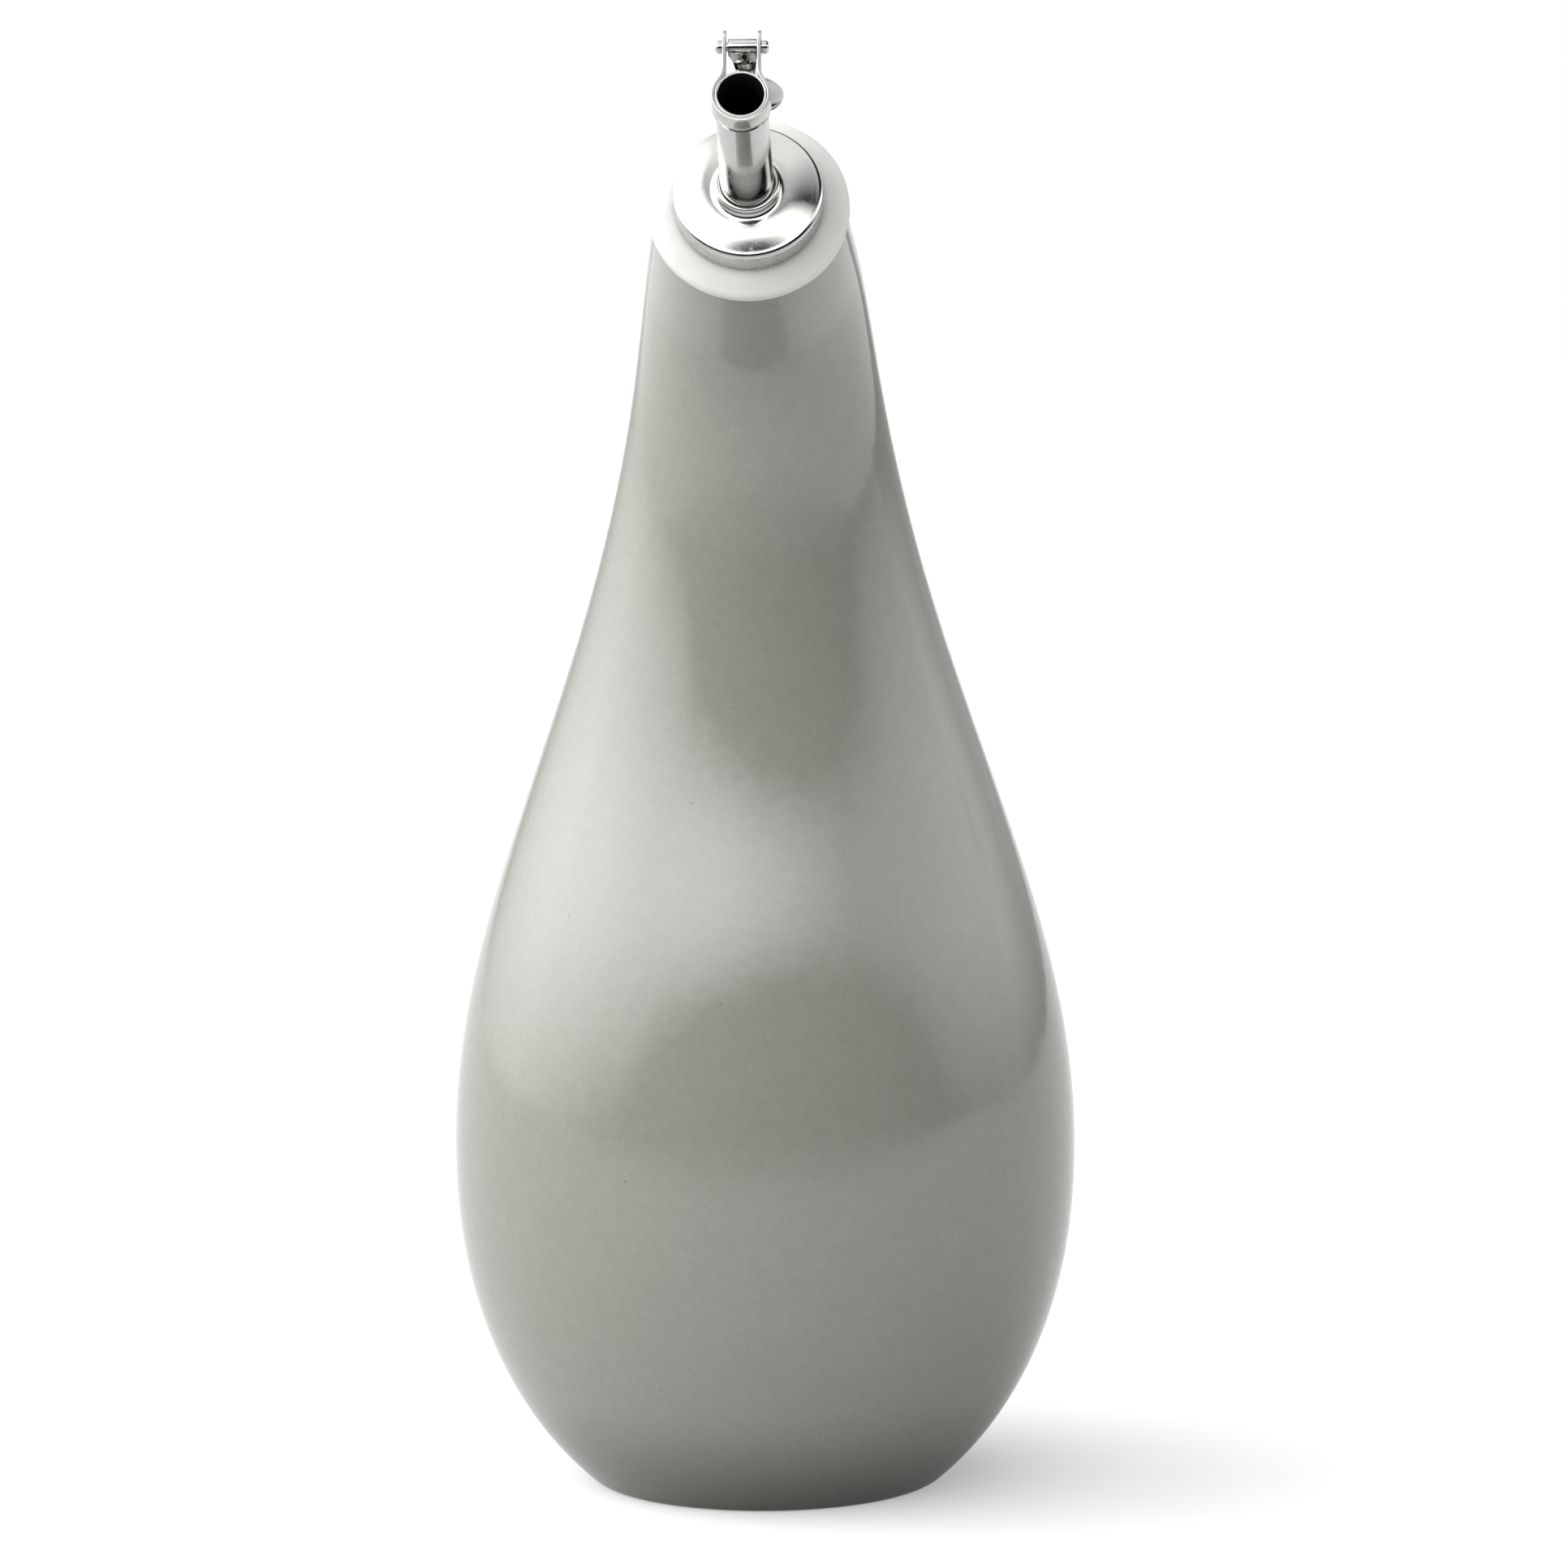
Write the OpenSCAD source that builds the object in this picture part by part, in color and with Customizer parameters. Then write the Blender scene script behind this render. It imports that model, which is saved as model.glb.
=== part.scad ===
/* [Bottle body] */
// Widest diameter of the body
belly_d = 106.8; // [85:0.1:135]
// Height of the widest point above the table
belly_h = 59; // [45:0.1:80]
// Diameter of the foot
foot_d = 59; // [45:0.5:72]
// Exponent of the curve below the widest point, higher is fuller
fullness = 2.19; // [1.9:0.01:2.6]
// Height over which the shoulder draws in towards the neck
shoulder_spread = 92.3; // [75:0.1:112]
// Wall thickness of the body
wall = 4.3; // [3:0.1:6]
// Thickness of the floor above the foot recess
floor_t = 5; // [3.5:0.1:8]
// Depth of the recess under the foot
recess_depth = 2.2; // [1:0.1:4]
// Width of the ring that the bottle stands on
foot_ring_w = 6.5; // [4:0.5:12]

/* [Bent neck] */
// Height at which the centre line begins to lean
bend_start = 90; // [75:0.5:105]
// Length of the centre line over which it leans and bends
bend_len = 132; // [110:1:150]
// Share of the tilt that the shoulder leans by before the neck bends
lean_share = 0.103; // [0:0.001:0.2]
// Share of the bend's length over which the shoulder leans
lean_span = 0.41; // [0.3:0.01:0.7]
// Exponent of the bend, higher draws it up towards the mouth
bend_ease = 3.9; // [2.5:0.1:6]
// Angle of the mouth from upright
neck_tilt = 57.8; // [30:0.1:65]
// Length of the straight neck behind the mouth
neck_len = 19; // [17:0.1:30]
// Diameter that the outside of the neck draws in to
neck_d = 32.8; // [28:0.1:40]
// How far the outside draws in further towards the mouth
mouth_draw = 1.5; // [0:0.1:2]
// Length below the mouth over which it does so
draw_len = 46; // [20:1:60]
// Diameter of the bore that the stopper seals in
bore_d = 25.4; // [20:0.1:28]
// Rounding of the outer edge of the mouth
lip_round = 1.7; // [1:0.1:2]
// Rounding of the inner edge of the mouth
bore_round = 0.9; // [0.4:0.1:1.5]

/* [Stopper] */
// Diameter of the soft flange that covers the mouth
flange_d = 33.2; // [30:0.1:40]
// Height of the flange at its rim
flange_edge = 1.9; // [1.2:0.1:3]
// Height of the flange under the edge of the steel cover
flange_crown = 3.4; // [2.4:0.1:5]
// Length of the plug below the mouth
plug_len = 18; // [14:0.5:28]
// Diameter of the core of the plug between its fins
core_d = 20.8; // [16:0.1:22]
// Number of sealing fins
fin_count = 3; // [2:1:6]
// Thickness of a fin at its rim
fin_rim = 0.9; // [0.6:0.1:1.5]
// Thickness of a fin at its root
fin_root = 2; // [1.2:0.1:3]
// Clearance all round between the fins and the bore
fin_gap = 0.05; // [0.02:0.01:0.2]

/* [Steel cover] */
// Outer diameter of the cover
cover_d = 24.7; // [22:0.1:30]
// Height of the cover from its edge to the top of its shoulder
cover_h = 4.4; // [3:0.1:7]
// Rounding between the side and the top of the cover
cover_round = 1; // [0.5:0.1:1.8]
// Rise of the top from its shoulder to the collar
cover_rise = 1.6; // [0.8:0.1:3]
// Outer diameter of the collar drawn up round the spout
collar_d = 10.8; // [10:0.1:14]
// Height of the collar above the top
collar_h = 1.4; // [0.8:0.1:2.5]
// Thickness of the sheet
sheet = 0.5; // [0.3:0.05:0.8]

/* [Spout] */
// Outer diameter of the spout where it leaves the collar
spout_base_d = 8.95; // [7:0.05:11]
// Outer diameter of the spout at its open end
spout_tip_d = 8.45; // [6.5:0.05:10]
// Wall thickness of the spout
spout_wall = 0.45; // [0.3:0.05:0.8]
// Length of the spout above the collar
spout_len = 30.5; // [20:0.1:45]
// Length of the spout below the plug
spout_below = 3; // [0:0.5:15]
// Diameter of the breather tube
vent_d = 2.8; // [2:0.1:4]
// Wall thickness of the breather tube
vent_wall = 0.35; // [0.2:0.05:0.6]
// Distance of the breather tube from the middle of the spout
vent_offset = 7.4; // [6.8:0.1:9]
// Length of the breather tube below the plug
vent_below = 12; // [5:1:40]
// Height of the breather tube above the top of the cover
vent_above = 1.2; // [0.5:0.1:3]

/* [Hinge and flip lid] */
// Thickness of the hinge strap
strap_t = 0.55; // [0.4:0.05:0.9]
// Width of the hinge strap along the spout
strap_w = 4.2; // [3:0.1:6]
// Distance of each ear from the middle, at the middle of its thickness
ear_x = 2.82; // [2.2:0.02:4]
// Radius of the outward sweep from the spout into an ear
ear_sweep = 4.1; // [2:0.1:6]
// Height of the pin above the middle of the spout
pin_h = 9.65; // [8:0.05:14]
// Height of the ear above the pin
ear_top = 2.75; // [1.8:0.1:4]
// Diameter of the pin
pin_d = 1.5; // [1:0.05:2]
// Diameter of the pin's heads
head_d = 2.15; // [1.8:0.05:3]
// Thickness of each head
head_t = 1.2; // [0.6:0.05:2]
// Clearance all round between the pin and the knuckle
pin_gap = 0.05; // [0.02:0.01:0.1]
// Clearance all round between the pin and an ear
rivet_gap = 0.01; // [0:0.005:0.03]
// Thickness of the lid's sheet
lid_t = 0.55; // [0.4:0.05:0.9]
// Diameter of the lid
lid_d = 11.5; // [10.5:0.1:14]
// Rise of the lid's dome
dome_rise = 1.75; // [0.8:0.1:3]
// Width of the knuckle
knuckle_w = 4.7; // [3.5:0.1:4.9]
// Width of the arm where it meets the lid
arm_w = 2.7; // [2:0.1:4]
// Sideways play taken up by the knuckle
knuckle_play = 0.1; // [0:0.05:0.4]
// Sideways offset of the lid from its knuckle
lid_skew = 0.6; // [0:0.05:0.6]
// Gap between the closed lid and the end of the spout
closed_gap = 0.2; // [0.05:0.05:0.4]
// How far the closed lid's middle lies beyond the middle of the spout
lid_drop = 0.65; // [0:0.05:1]
// Gap between the lid's dome and the spout when it is flipped back
rest_gap = 0.1; // [0.05:0.05:0.3]

/* [Hidden] */
$fn = 96;

// Cut-outs pass their faces by this much
over = 1;
// Sides of the loft round the bend, and its steps along the centre line
loft_sides = 56;
loft_steps = 24;
// The loft's ends lie this deep in the turned parts and sink this far below their skin
loft_lap = 1.5;
loft_dip = 0.15;
// At each seam the loft's corners stand this far proud, so that its flats meet the turned skin
loft_proud = 0.09;
// Steps of the turned curves below and above the widest point
lower_steps = 20;
upper_steps = 12;
arc_steps = 6;

belly_r = belly_d / 2;
foot_r = foot_d / 2;
neck_r = neck_d / 2;
bore_r = bore_d / 2;
bend_end = bend_start + bend_len;
mouth_at = bend_end + neck_len;
// Height below the widest point at which the lower curve would reach the axis
lower_h = belly_h / pow(1 - pow(foot_r / belly_r, 2), 1 / fullness);
foot_edge = 0.9;
recess_r = foot_r - foot_ring_w;

function smooth(t) = t <= 0 ? 0 : t >= 1 ? 1 : t * t * (3 - 2 * t);
// Outside radius of the bottle at a distance along its centre line
function upper_r(s) =
  neck_r + (belly_r - neck_r) * exp(-pow((s - belly_h) / shoulder_spread, 2))
  - mouth_draw * pow(max(0, (s - mouth_at) / draw_len + 1), 2);
function lower_r(s) = belly_r * sqrt(1 - pow((belly_h - s) / lower_h, fullness));
function outer_r(s) = s < belly_h ? lower_r(s) : upper_r(s);
// Change of that radius per millimetre
function slope(s) = (outer_r(s + 0.05) - outer_r(s - 0.05)) / 0.1;
// Wall measured across the centre line, thicker towards the plug's bore
neck_wall = upper_r(bend_end) - bore_r;
function wall_at(s) =
  wall * sqrt(1 + pow(slope(s), 2)) * (1 - smooth((s - bend_start) / bend_len))
  + neck_wall * smooth((s - bend_start) / bend_len);
function inner_r(s) = outer_r(s) - wall_at(s);
// Tilt of the centre line from upright at a share k of the bend
function tilt_of(k) =
  neck_tilt * (lean_share * smooth(k / lean_span) + (1 - lean_share) * pow(k, bend_ease));

// Centre line through the bend as points of depth and height
path_steps = 8 * loft_steps;
path_ds = bend_len / path_steps;
path = [
  for (i = 0, y = 0, z = bend_start; i <= path_steps;
       y = y - path_ds * sin(tilt_of((i + 0.5) / path_steps)),
       z = z + path_ds * cos(tilt_of((i + 0.5) / path_steps)),
       i = i + 1) [y, z]
];
function path_point(k) = path[round(k * path_steps)];
mouth_y = path_point(1)[0] - neck_len * sin(neck_tilt);
mouth_z = path_point(1)[1] + neck_len * cos(neck_tilt);

// Points of a quarter round, for turned profiles
function arc(cx, cy, r, a0, a1) = [
  for (i = [0:arc_steps])
    let (a = a0 + (a1 - a0) * i / arc_steps)
      [cx + r * cos(a), cy + r * sin(a)]
];

// Stack up the neck axis, measured from the mouth
flange_r = flange_d / 2;
cover_r = cover_d / 2;
cover_edge_z = flange_crown + 0.02;
cover_top_z = cover_edge_z + cover_h;
collar_r = collar_d / 2;
collar_foot_z = cover_top_z + cover_rise;
collar_top_z = collar_foot_z + collar_h;
spout_base_r = spout_base_d / 2;
spout_tip_r = spout_tip_d / 2;
spout_end_z = collar_top_z + spout_len;
// The last part of the spout is parallel, so that the strap fits round it
parallel_len = strap_w + 2;
taper_end_z = spout_end_z - parallel_len;
collar_gap = 0.05;
fit_gap = 0.02;
plug_end_z = -plug_len;

// Hinge, measured from the middle of the spout's open end
pin_r = pin_d / 2;
pin_z = spout_end_z - strap_w / 2;
strap_in_r = spout_tip_r + fit_gap;
strap_mid_r = strap_in_r + strap_t / 2;
sweep_angle = acos((ear_x + ear_sweep) / (strap_mid_r + ear_sweep));
// Degrees the outward sweeps run into the strap's ring
sweep_lap = 1;
sweep_cx = ear_x + ear_sweep;
sweep_cy = (strap_mid_r + ear_sweep) * sin(sweep_angle);
ear_tip_y = pin_h + ear_top;

// Flip lid, measured from its pin with the lid closed
knuckle_in_r = pin_r + pin_gap;
knuckle_r = knuckle_in_r + lid_t;
lid_r = lid_d / 2;
lid_reach = pin_h + lid_drop;
lid_face_z = strap_w / 2 + closed_gap;
dome_out_r = (lid_r * lid_r + dome_rise * dome_rise) / (2 * dome_rise);
rim_h = 0.35;
dome_top_z = lid_face_z + rim_h + dome_rise;
dome_cz = dome_top_z - dome_out_r;
// Angle from closed to lying back on the spout, where the dome just clears it
dome_reach = sqrt(lid_reach * lid_reach + dome_cz * dome_cz);
lie_angle = asin((spout_tip_r + rest_gap + dome_out_r - pin_h) / dome_reach) + atan2(lid_reach, -dome_cz);
lid_open = 360 - lie_angle;

module on_neck() {
  translate([0, mouth_y, mouth_z])
    rotate([neck_tilt, 0, 0])
      children();
}

module on_pin() {
  on_neck()
    translate([0, pin_h, pin_z])
      children();
}

// A round rod along X
module cross_rod(r, x0, x1) {
  translate([x0, 0, 0])
    rotate([0, 90, 0])
      cylinder(r = r, h = x1 - x0);
}

// One point of a ring across the centre line, at a share k of the bend and a shift along the centre line
function ring_point(k, shift, r, j) =
  let (p = path_point(k), t = tilt_of(k), a = 360 * j / loft_sides)
    [r * cos(a), p[0] + r * sin(a) * cos(t) - shift * sin(t), p[1] + r * sin(a) * sin(t) + shift * cos(t)];
function skin_r(s, inside) = inside ? inner_r(min(s, bend_end)) : outer_r(s);

// Solid of rings strung along the bend, reaching into the turned part at each end
module bend_loft(inside) {
  // Each ring as its share of the bend, its shift and its radius
  rings = concat(
    [
      [0, -loft_lap, skin_r(bend_start - loft_lap, inside) - loft_dip],
      [0, -loft_lap / 3, skin_r(bend_start, inside) + loft_proud]
    ],
    [
      for (i = [1:loft_steps - 1])
        [i / loft_steps, 0, skin_r(bend_start + bend_len * i / loft_steps, inside)]
    ],
    [
      [1, loft_lap / 3, skin_r(bend_end + loft_lap / 3, inside) + loft_proud],
      [1, loft_lap, skin_r(bend_end + loft_lap, inside) - loft_dip]
    ]
  );
  points = [for (g = rings) for (j = [0:loft_sides - 1]) ring_point(g[0], g[1], g[2], j)];
  sides = [
    for (i = [0:len(rings) - 2])
      for (j = [0:loft_sides - 1])
        let (a = i * loft_sides + j, b = i * loft_sides + (j + 1) % loft_sides)
          each [[a, a + loft_sides, b + loft_sides], [a, b + loft_sides, b]]
  ];
  first = [for (j = [0:loft_sides - 1]) j];
  last = [for (j = [loft_sides - 1:-1:0]) (len(rings) - 1) * loft_sides + j];
  polyhedron(points = points, faces = concat([first], [last], sides), convexity = 4);
}

module body_outside() {
  rotate_extrude()
    polygon(concat(
      [[0, 0], [foot_r - foot_edge, 0], [foot_r - foot_edge * 0.3, foot_edge * 0.25]],
      [for (i = [1:lower_steps]) let (s = belly_h * i / lower_steps) [outer_r(s), s]],
      [
        for (i = [1:upper_steps])
          let (s = belly_h + (bend_start - belly_h) * i / upper_steps) [outer_r(s), s]
      ],
      [[0, bend_start]]
    ));
}

module body_hollow() {
  corner_share = 0.3;
  floor_z = recess_depth + floor_t;
  corner_z = floor_z + wall;
  rotate_extrude()
    polygon(concat(
      [
        [0, floor_z],
        [inner_r(corner_z) - wall, floor_z],
        [inner_r(corner_z) - wall * corner_share, floor_z + wall * corner_share]
      ],
      [
        for (i = [0:lower_steps + upper_steps])
          let (s = corner_z + (bend_start - corner_z) * i / (lower_steps + upper_steps)) [inner_r(s), s]
      ],
      [[0, bend_start]]
    ));
}

// The straight neck, turned round its own axis, with a rounded lip
module neck_outside() {
  on_neck()
    rotate_extrude()
      polygon(concat(
        [[0, -neck_len]],
        [
          for (i = [0:arc_steps])
            let (z = -neck_len + (neck_len - lip_round) * i / arc_steps)
              [outer_r(mouth_at + z), z]
        ],
        arc(outer_r(mouth_at - lip_round) - lip_round, -lip_round, lip_round, 10, 90),
        [[0, 0]]
      ));
}

module neck_bore() {
  on_neck()
    rotate_extrude()
      polygon(concat(
        [[0, -neck_len], [bore_r, -neck_len]],
        [for (i = [0:arc_steps]) let (a = 90 * i / arc_steps)
          [bore_r + bore_round * (1 - cos(a)), -bore_round * (1 - sin(a))]],
        [[bore_r + bore_round, over], [0, over]]
      ));
}

module bottle() {
  color([0.62, 0.63, 0.58])
    difference() {
      union() {
        body_outside();
        bend_loft(false);
        neck_outside();
      }
      body_hollow();
      bend_loft(true);
      neck_bore();
      translate([0, 0, -over])
        cylinder(r1 = recess_r + over, r2 = recess_r - recess_depth, h = over + recess_depth);
    }
}

// Half section of the plug, its fins and the domed flange
module stopper_section() {
  fin_r = bore_r - fin_gap;
  core_r = core_d / 2;
  nose = 2.5;
  nose_h = 3;
  nose_edge = 0.6;
  fin_first = 4;
  fin_bevel = 0.3;
  low_round = 0.8;
  top_round = 1.1;
  top_drop = 0.5;
  crown_angle = 68;
  crown_step = 0.52;
  boss_bevel = 0.6;
  fit_inset = 0.1;
  pitch = (plug_len - fin_first - fin_root) / fin_count;
  boss_r = cover_r - sheet - fit_gap;
  boss_z = cover_top_z - cover_round - sheet;
  polygon(concat(
    [
      [0, plug_end_z],
      [core_r - nose, plug_end_z],
      [core_r - nose_edge, plug_end_z + 2 * nose_edge],
      [core_r, plug_end_z + nose_h]
    ],
    [
      for (k = [0:fin_count - 1])
        let (z = plug_end_z + fin_first + k * pitch)
          each [
            [core_r, z],
            [fin_r - fin_bevel, z + fin_root - fin_rim],
            [fin_r, z + fin_root - fin_rim + fin_bevel],
            [fin_r, z + fin_root - fin_bevel],
            [fin_r - fin_bevel, z + fin_root],
            [core_r, z + fin_root]
          ]
    ],
    [[core_r, 0], [flange_r - low_round, 0]],
    arc(flange_r - low_round, low_round, low_round, -75, 0),
    arc(flange_r - top_round, flange_edge - top_drop, top_round, 0, crown_angle),
    [
      for (i = [1:arc_steps])
        let (t = i / (arc_steps + 1))
          let (edge_in = top_round * (1 - cos(crown_angle)))
            [flange_r - edge_in - (flange_r - cover_r - edge_in) * t,
             flange_edge + crown_step + (flange_crown - flange_edge - crown_step) * sin(90 * t)]
    ],
    [
      [cover_r - fit_inset, flange_crown],
      [boss_r, flange_crown],
      [boss_r, boss_z - boss_bevel],
      [boss_r - boss_bevel, boss_z],
      [0, boss_z]
    ]
  ));
}

module stopper() {
  color([0.9, 0.9, 0.88])
    on_neck()
      difference() {
        rotate_extrude()
          stopper_section();
        translate([0, 0, plug_end_z - over])
          cylinder(r = spout_base_r + fit_gap, h = plug_len + cover_top_z + over);
        translate([0, vent_offset, plug_end_z - over])
          cylinder(r = vent_d / 2 + fit_gap, h = plug_len + cover_top_z + over);
      }
}

// Half section of the drawn cover, one sheet thick from its edge to the collar's lip
module cover_section() {
  rise_x0 = cover_r - cover_round;
  lip_in_r = spout_base_r + collar_gap;
  fillet = 0.7;
  polygon(concat(
    [[cover_r - sheet, cover_edge_z], [cover_r, cover_edge_z]],
    arc(rise_x0, cover_top_z - cover_round, cover_round, 0, 78),
    [
      for (i = [1:arc_steps])
        let (t = i / arc_steps)
          [rise_x0 + cover_round * cos(78) - (rise_x0 + cover_round * cos(78) - collar_r - fillet) * t,
           cover_top_z + (cover_rise - fillet * 0.3) * sin(75 * t) / sin(75)]
    ],
    [[collar_r + fillet * 0.3, collar_foot_z + fillet * 0.1], [collar_r, collar_foot_z + fillet * 0.6]],
    arc(collar_r - 0.55, collar_top_z - 0.55, 0.55, 0, 90),
    arc(lip_in_r + 0.25, collar_top_z - 0.25, 0.25, 90, 180),
    [[lip_in_r, collar_foot_z - 0.4]],
    [
      for (i = [0:arc_steps])
        let (t = 1 - i / arc_steps)
          [rise_x0 - (rise_x0 - collar_r) * t,
           cover_top_z - sheet * 1.1 + (cover_rise - 0.1) * sin(75 * t) / sin(75)]
    ],
    [[cover_r - sheet, cover_top_z - cover_round - sheet * 0.4]]
  ));
}

module cover() {
  color([0.78, 0.78, 0.78])
    on_neck()
      difference() {
        rotate_extrude()
          cover_section();
        translate([0, vent_offset, cover_top_z - 3])
          cylinder(r = vent_d / 2 + fit_gap, h = 3 + cover_rise + over);
      }
}

module spout() {
  start_z = plug_end_z - spout_below;
  color([0.8, 0.8, 0.8])
    on_neck()
      rotate_extrude()
        polygon([
          [spout_base_r - spout_wall, start_z],
          [spout_base_r, start_z],
          [spout_base_r, collar_top_z],
          [spout_tip_r, taper_end_z],
          [spout_tip_r, spout_end_z - 0.12],
          [spout_tip_r - 0.12, spout_end_z],
          [spout_tip_r - spout_wall + 0.12, spout_end_z],
          [spout_tip_r - spout_wall, spout_end_z - 0.12],
          [spout_tip_r - spout_wall, taper_end_z],
          [spout_base_r - spout_wall, collar_top_z]
        ]);
}

module breather() {
  start_z = plug_end_z - vent_below;
  end_z = collar_foot_z + vent_above;
  color([0.75, 0.75, 0.75])
    on_neck()
      translate([0, vent_offset, start_z])
        difference() {
          cylinder(r = vent_d / 2, h = end_z - start_z);
          translate([0, 0, -over])
            cylinder(r = vent_d / 2 - vent_wall, h = end_z - start_z + 2 * over);
        }
}

// Part of a ring between two angles
module ring_sector(r, t, a0, a1) {
  rotate(a0)
    rotate_extrude(angle = a1 - a0)
      translate([r - t / 2, 0])
        square([t, strap_w]);
}

module hinge_strap() {
  color([0.76, 0.76, 0.76])
    on_neck()
      difference() {
        intersection() {
          translate([0, 0, spout_end_z - strap_w])
            union() {
              ring_sector(strap_mid_r, strap_t, 180 - sweep_angle, 360 + sweep_angle);
              for (side = [0, 1])
                mirror([side, 0, 0]) {
                  translate([sweep_cx, sweep_cy, 0])
                    ring_sector(ear_sweep, strap_t, 180, 180 + sweep_angle + sweep_lap);
                  translate([ear_x - strap_t / 2, sweep_cy, 0])
                    cube([strap_t, ear_tip_y - sweep_cy, strap_w]);
                }
            }
          union() {
            translate([-belly_r, -belly_r, spout_end_z - strap_w - over])
              cube([belly_d, belly_r + ear_tip_y - strap_w / 2, strap_w + 2 * over]);
            translate([0, ear_tip_y - strap_w / 2, pin_z])
              cross_rod(strap_w / 2, -belly_r, belly_r);
          }
        }
        translate([0, pin_h, pin_z])
          cross_rod(pin_r + rivet_gap, -belly_r, belly_r);
      }
}

module hinge_pin() {
  ear_out = ear_x + strap_t / 2;
  color([0.82, 0.82, 0.82])
    on_pin() {
      cross_rod(pin_r, -ear_out - head_t / 2, ear_out + head_t / 2);
      for (side = [0, 1])
        mirror([side, 0, 0])
          translate([ear_out, 0, 0])
            rotate([0, 90, 0])
              rotate_extrude()
                polygon(concat(
                  [[0, 0], [head_d / 2, 0], [head_d / 2, head_t - 0.45]],
                  arc(head_d / 2 - 0.45, head_t - 0.45, 0.45, 15, 90),
                  [[0, head_t]]
                ));
    }
}

module lid_plate() {
  // Outline of the arm, wide at the knuckle and waisted at the lid
  polygon([
    [-knuckle_w / 2, 0],
    [-knuckle_w / 2, -knuckle_r],
    [lid_skew - arm_w / 2, -lid_reach + lid_r + 0.6],
    [lid_skew - arm_w / 2, -lid_reach + lid_r - 1],
    [lid_skew + arm_w / 2, -lid_reach + lid_r - 1],
    [lid_skew + arm_w / 2, -lid_reach + lid_r + 0.6],
    [knuckle_w / 2, -knuckle_r],
    [knuckle_w / 2, 0]
  ]);
}

module flip_lid() {
  color([0.8, 0.8, 0.8])
    on_pin()
      rotate([-lid_open, 0, 0])
        translate([knuckle_play, 0, 0])
          difference() {
            union() {
              cross_rod(knuckle_r, -knuckle_w / 2, knuckle_w / 2);
              // Arm cut from a bent sheet that runs from the knuckle to the lid's rim
              intersection() {
                translate([0, 0, -over])
                  linear_extrude(height = lid_face_z + 4)
                    lid_plate();
                rotate([90, 0, -90])
                  translate([0, 0, -knuckle_w])
                    linear_extrude(height = 2 * knuckle_w)
                      arm_section();
              }
              translate([lid_skew, -lid_reach, 0])
                rotate_extrude()
                  lid_section();
            }
            cross_rod(knuckle_in_r, -knuckle_w, knuckle_w);
          }
}

// Side view of the arm, as distance from the pin towards the lid and height
module arm_section() {
  reach = lid_reach - lid_r + 0.8;
  polygon([
    [0, knuckle_r - lid_t],
    [0, knuckle_r],
    [reach * 0.35, knuckle_r + 0.1],
    [reach * 0.75, lid_face_z + lid_t],
    [reach, lid_face_z + lid_t],
    [reach, lid_face_z],
    [reach * 0.8, lid_face_z],
    [reach * 0.4, knuckle_r + 0.1 - lid_t]
  ]);
}

// Half section of the domed lid, hollow on the side that meets the spout
module lid_section() {
  dome_in_r = dome_out_r - lid_t;
  steps = 8;
  out_angle = asin(lid_r / dome_out_r);
  in_angle = asin((lid_r - lid_t) / dome_in_r);
  polygon(concat(
    [
      for (i = [0:steps])
        let (a = out_angle * i / steps)
          [dome_out_r * sin(a), dome_cz + dome_out_r * cos(a)]
    ],
    [[lid_r, lid_face_z], [lid_r - lid_t, lid_face_z]],
    [
      for (i = [steps:-1:0])
        let (a = in_angle * i / steps)
          [dome_in_r * sin(a), dome_cz + dome_in_r * cos(a)]
    ]
  ));
}

bottle();
stopper();
cover();
spout();
breather();
hinge_strap();
hinge_pin();
flip_lid();
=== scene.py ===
import math

import bpy
from mathutils import Matrix, Vector


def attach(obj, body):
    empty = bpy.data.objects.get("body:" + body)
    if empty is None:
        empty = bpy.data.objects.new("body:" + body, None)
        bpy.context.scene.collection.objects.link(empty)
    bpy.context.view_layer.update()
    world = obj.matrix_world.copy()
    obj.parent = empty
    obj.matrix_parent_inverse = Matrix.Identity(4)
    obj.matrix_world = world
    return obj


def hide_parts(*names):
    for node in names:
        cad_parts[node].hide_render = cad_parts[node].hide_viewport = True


bl_info = {
    "name": "Dispenser Bottle",
    "version": (1, 0, 0),
    "blender": (4, 5, 0),
    "location": "3D View > Sidebar > Bottle",
    "description": "Models and finishes a glazed bottle and its steel pourer over their frame",
    "category": "Object",
}

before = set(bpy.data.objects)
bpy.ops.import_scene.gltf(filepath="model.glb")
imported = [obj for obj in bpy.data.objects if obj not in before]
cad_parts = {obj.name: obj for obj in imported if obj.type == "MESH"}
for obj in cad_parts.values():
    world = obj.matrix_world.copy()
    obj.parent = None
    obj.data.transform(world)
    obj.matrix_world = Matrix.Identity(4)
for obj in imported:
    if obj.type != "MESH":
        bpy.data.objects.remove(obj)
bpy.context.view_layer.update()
MM = 0.001
# Points nearer than this are one point, and a smaller turn or growth is none
MERGE = 1e-6
NO_CHANGE = 1e-9


def length(name, description, millimetres):
    return bpy.props.FloatProperty(
        name=name, description=description, default=millimetres * MM,
        unit="LENGTH", subtype="DISTANCE", precision=5,
    )


def angle(name, description, degrees):
    return bpy.props.FloatProperty(
        name=name, description=description, default=math.radians(degrees),
        unit="ROTATION", subtype="ANGLE",
    )


def share(name, description, value):
    return bpy.props.FloatProperty(
        name=name, description=description, default=value, min=0, max=1, subtype="FACTOR"
    )


def plain(name, description, value):
    return bpy.props.FloatProperty(name=name, description=description, default=value)


def colour(name, description, value):
    return bpy.props.FloatVectorProperty(
        name=name, description=description, default=value, size=3, min=0, max=1,
        subtype="COLOR",
    )


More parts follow.
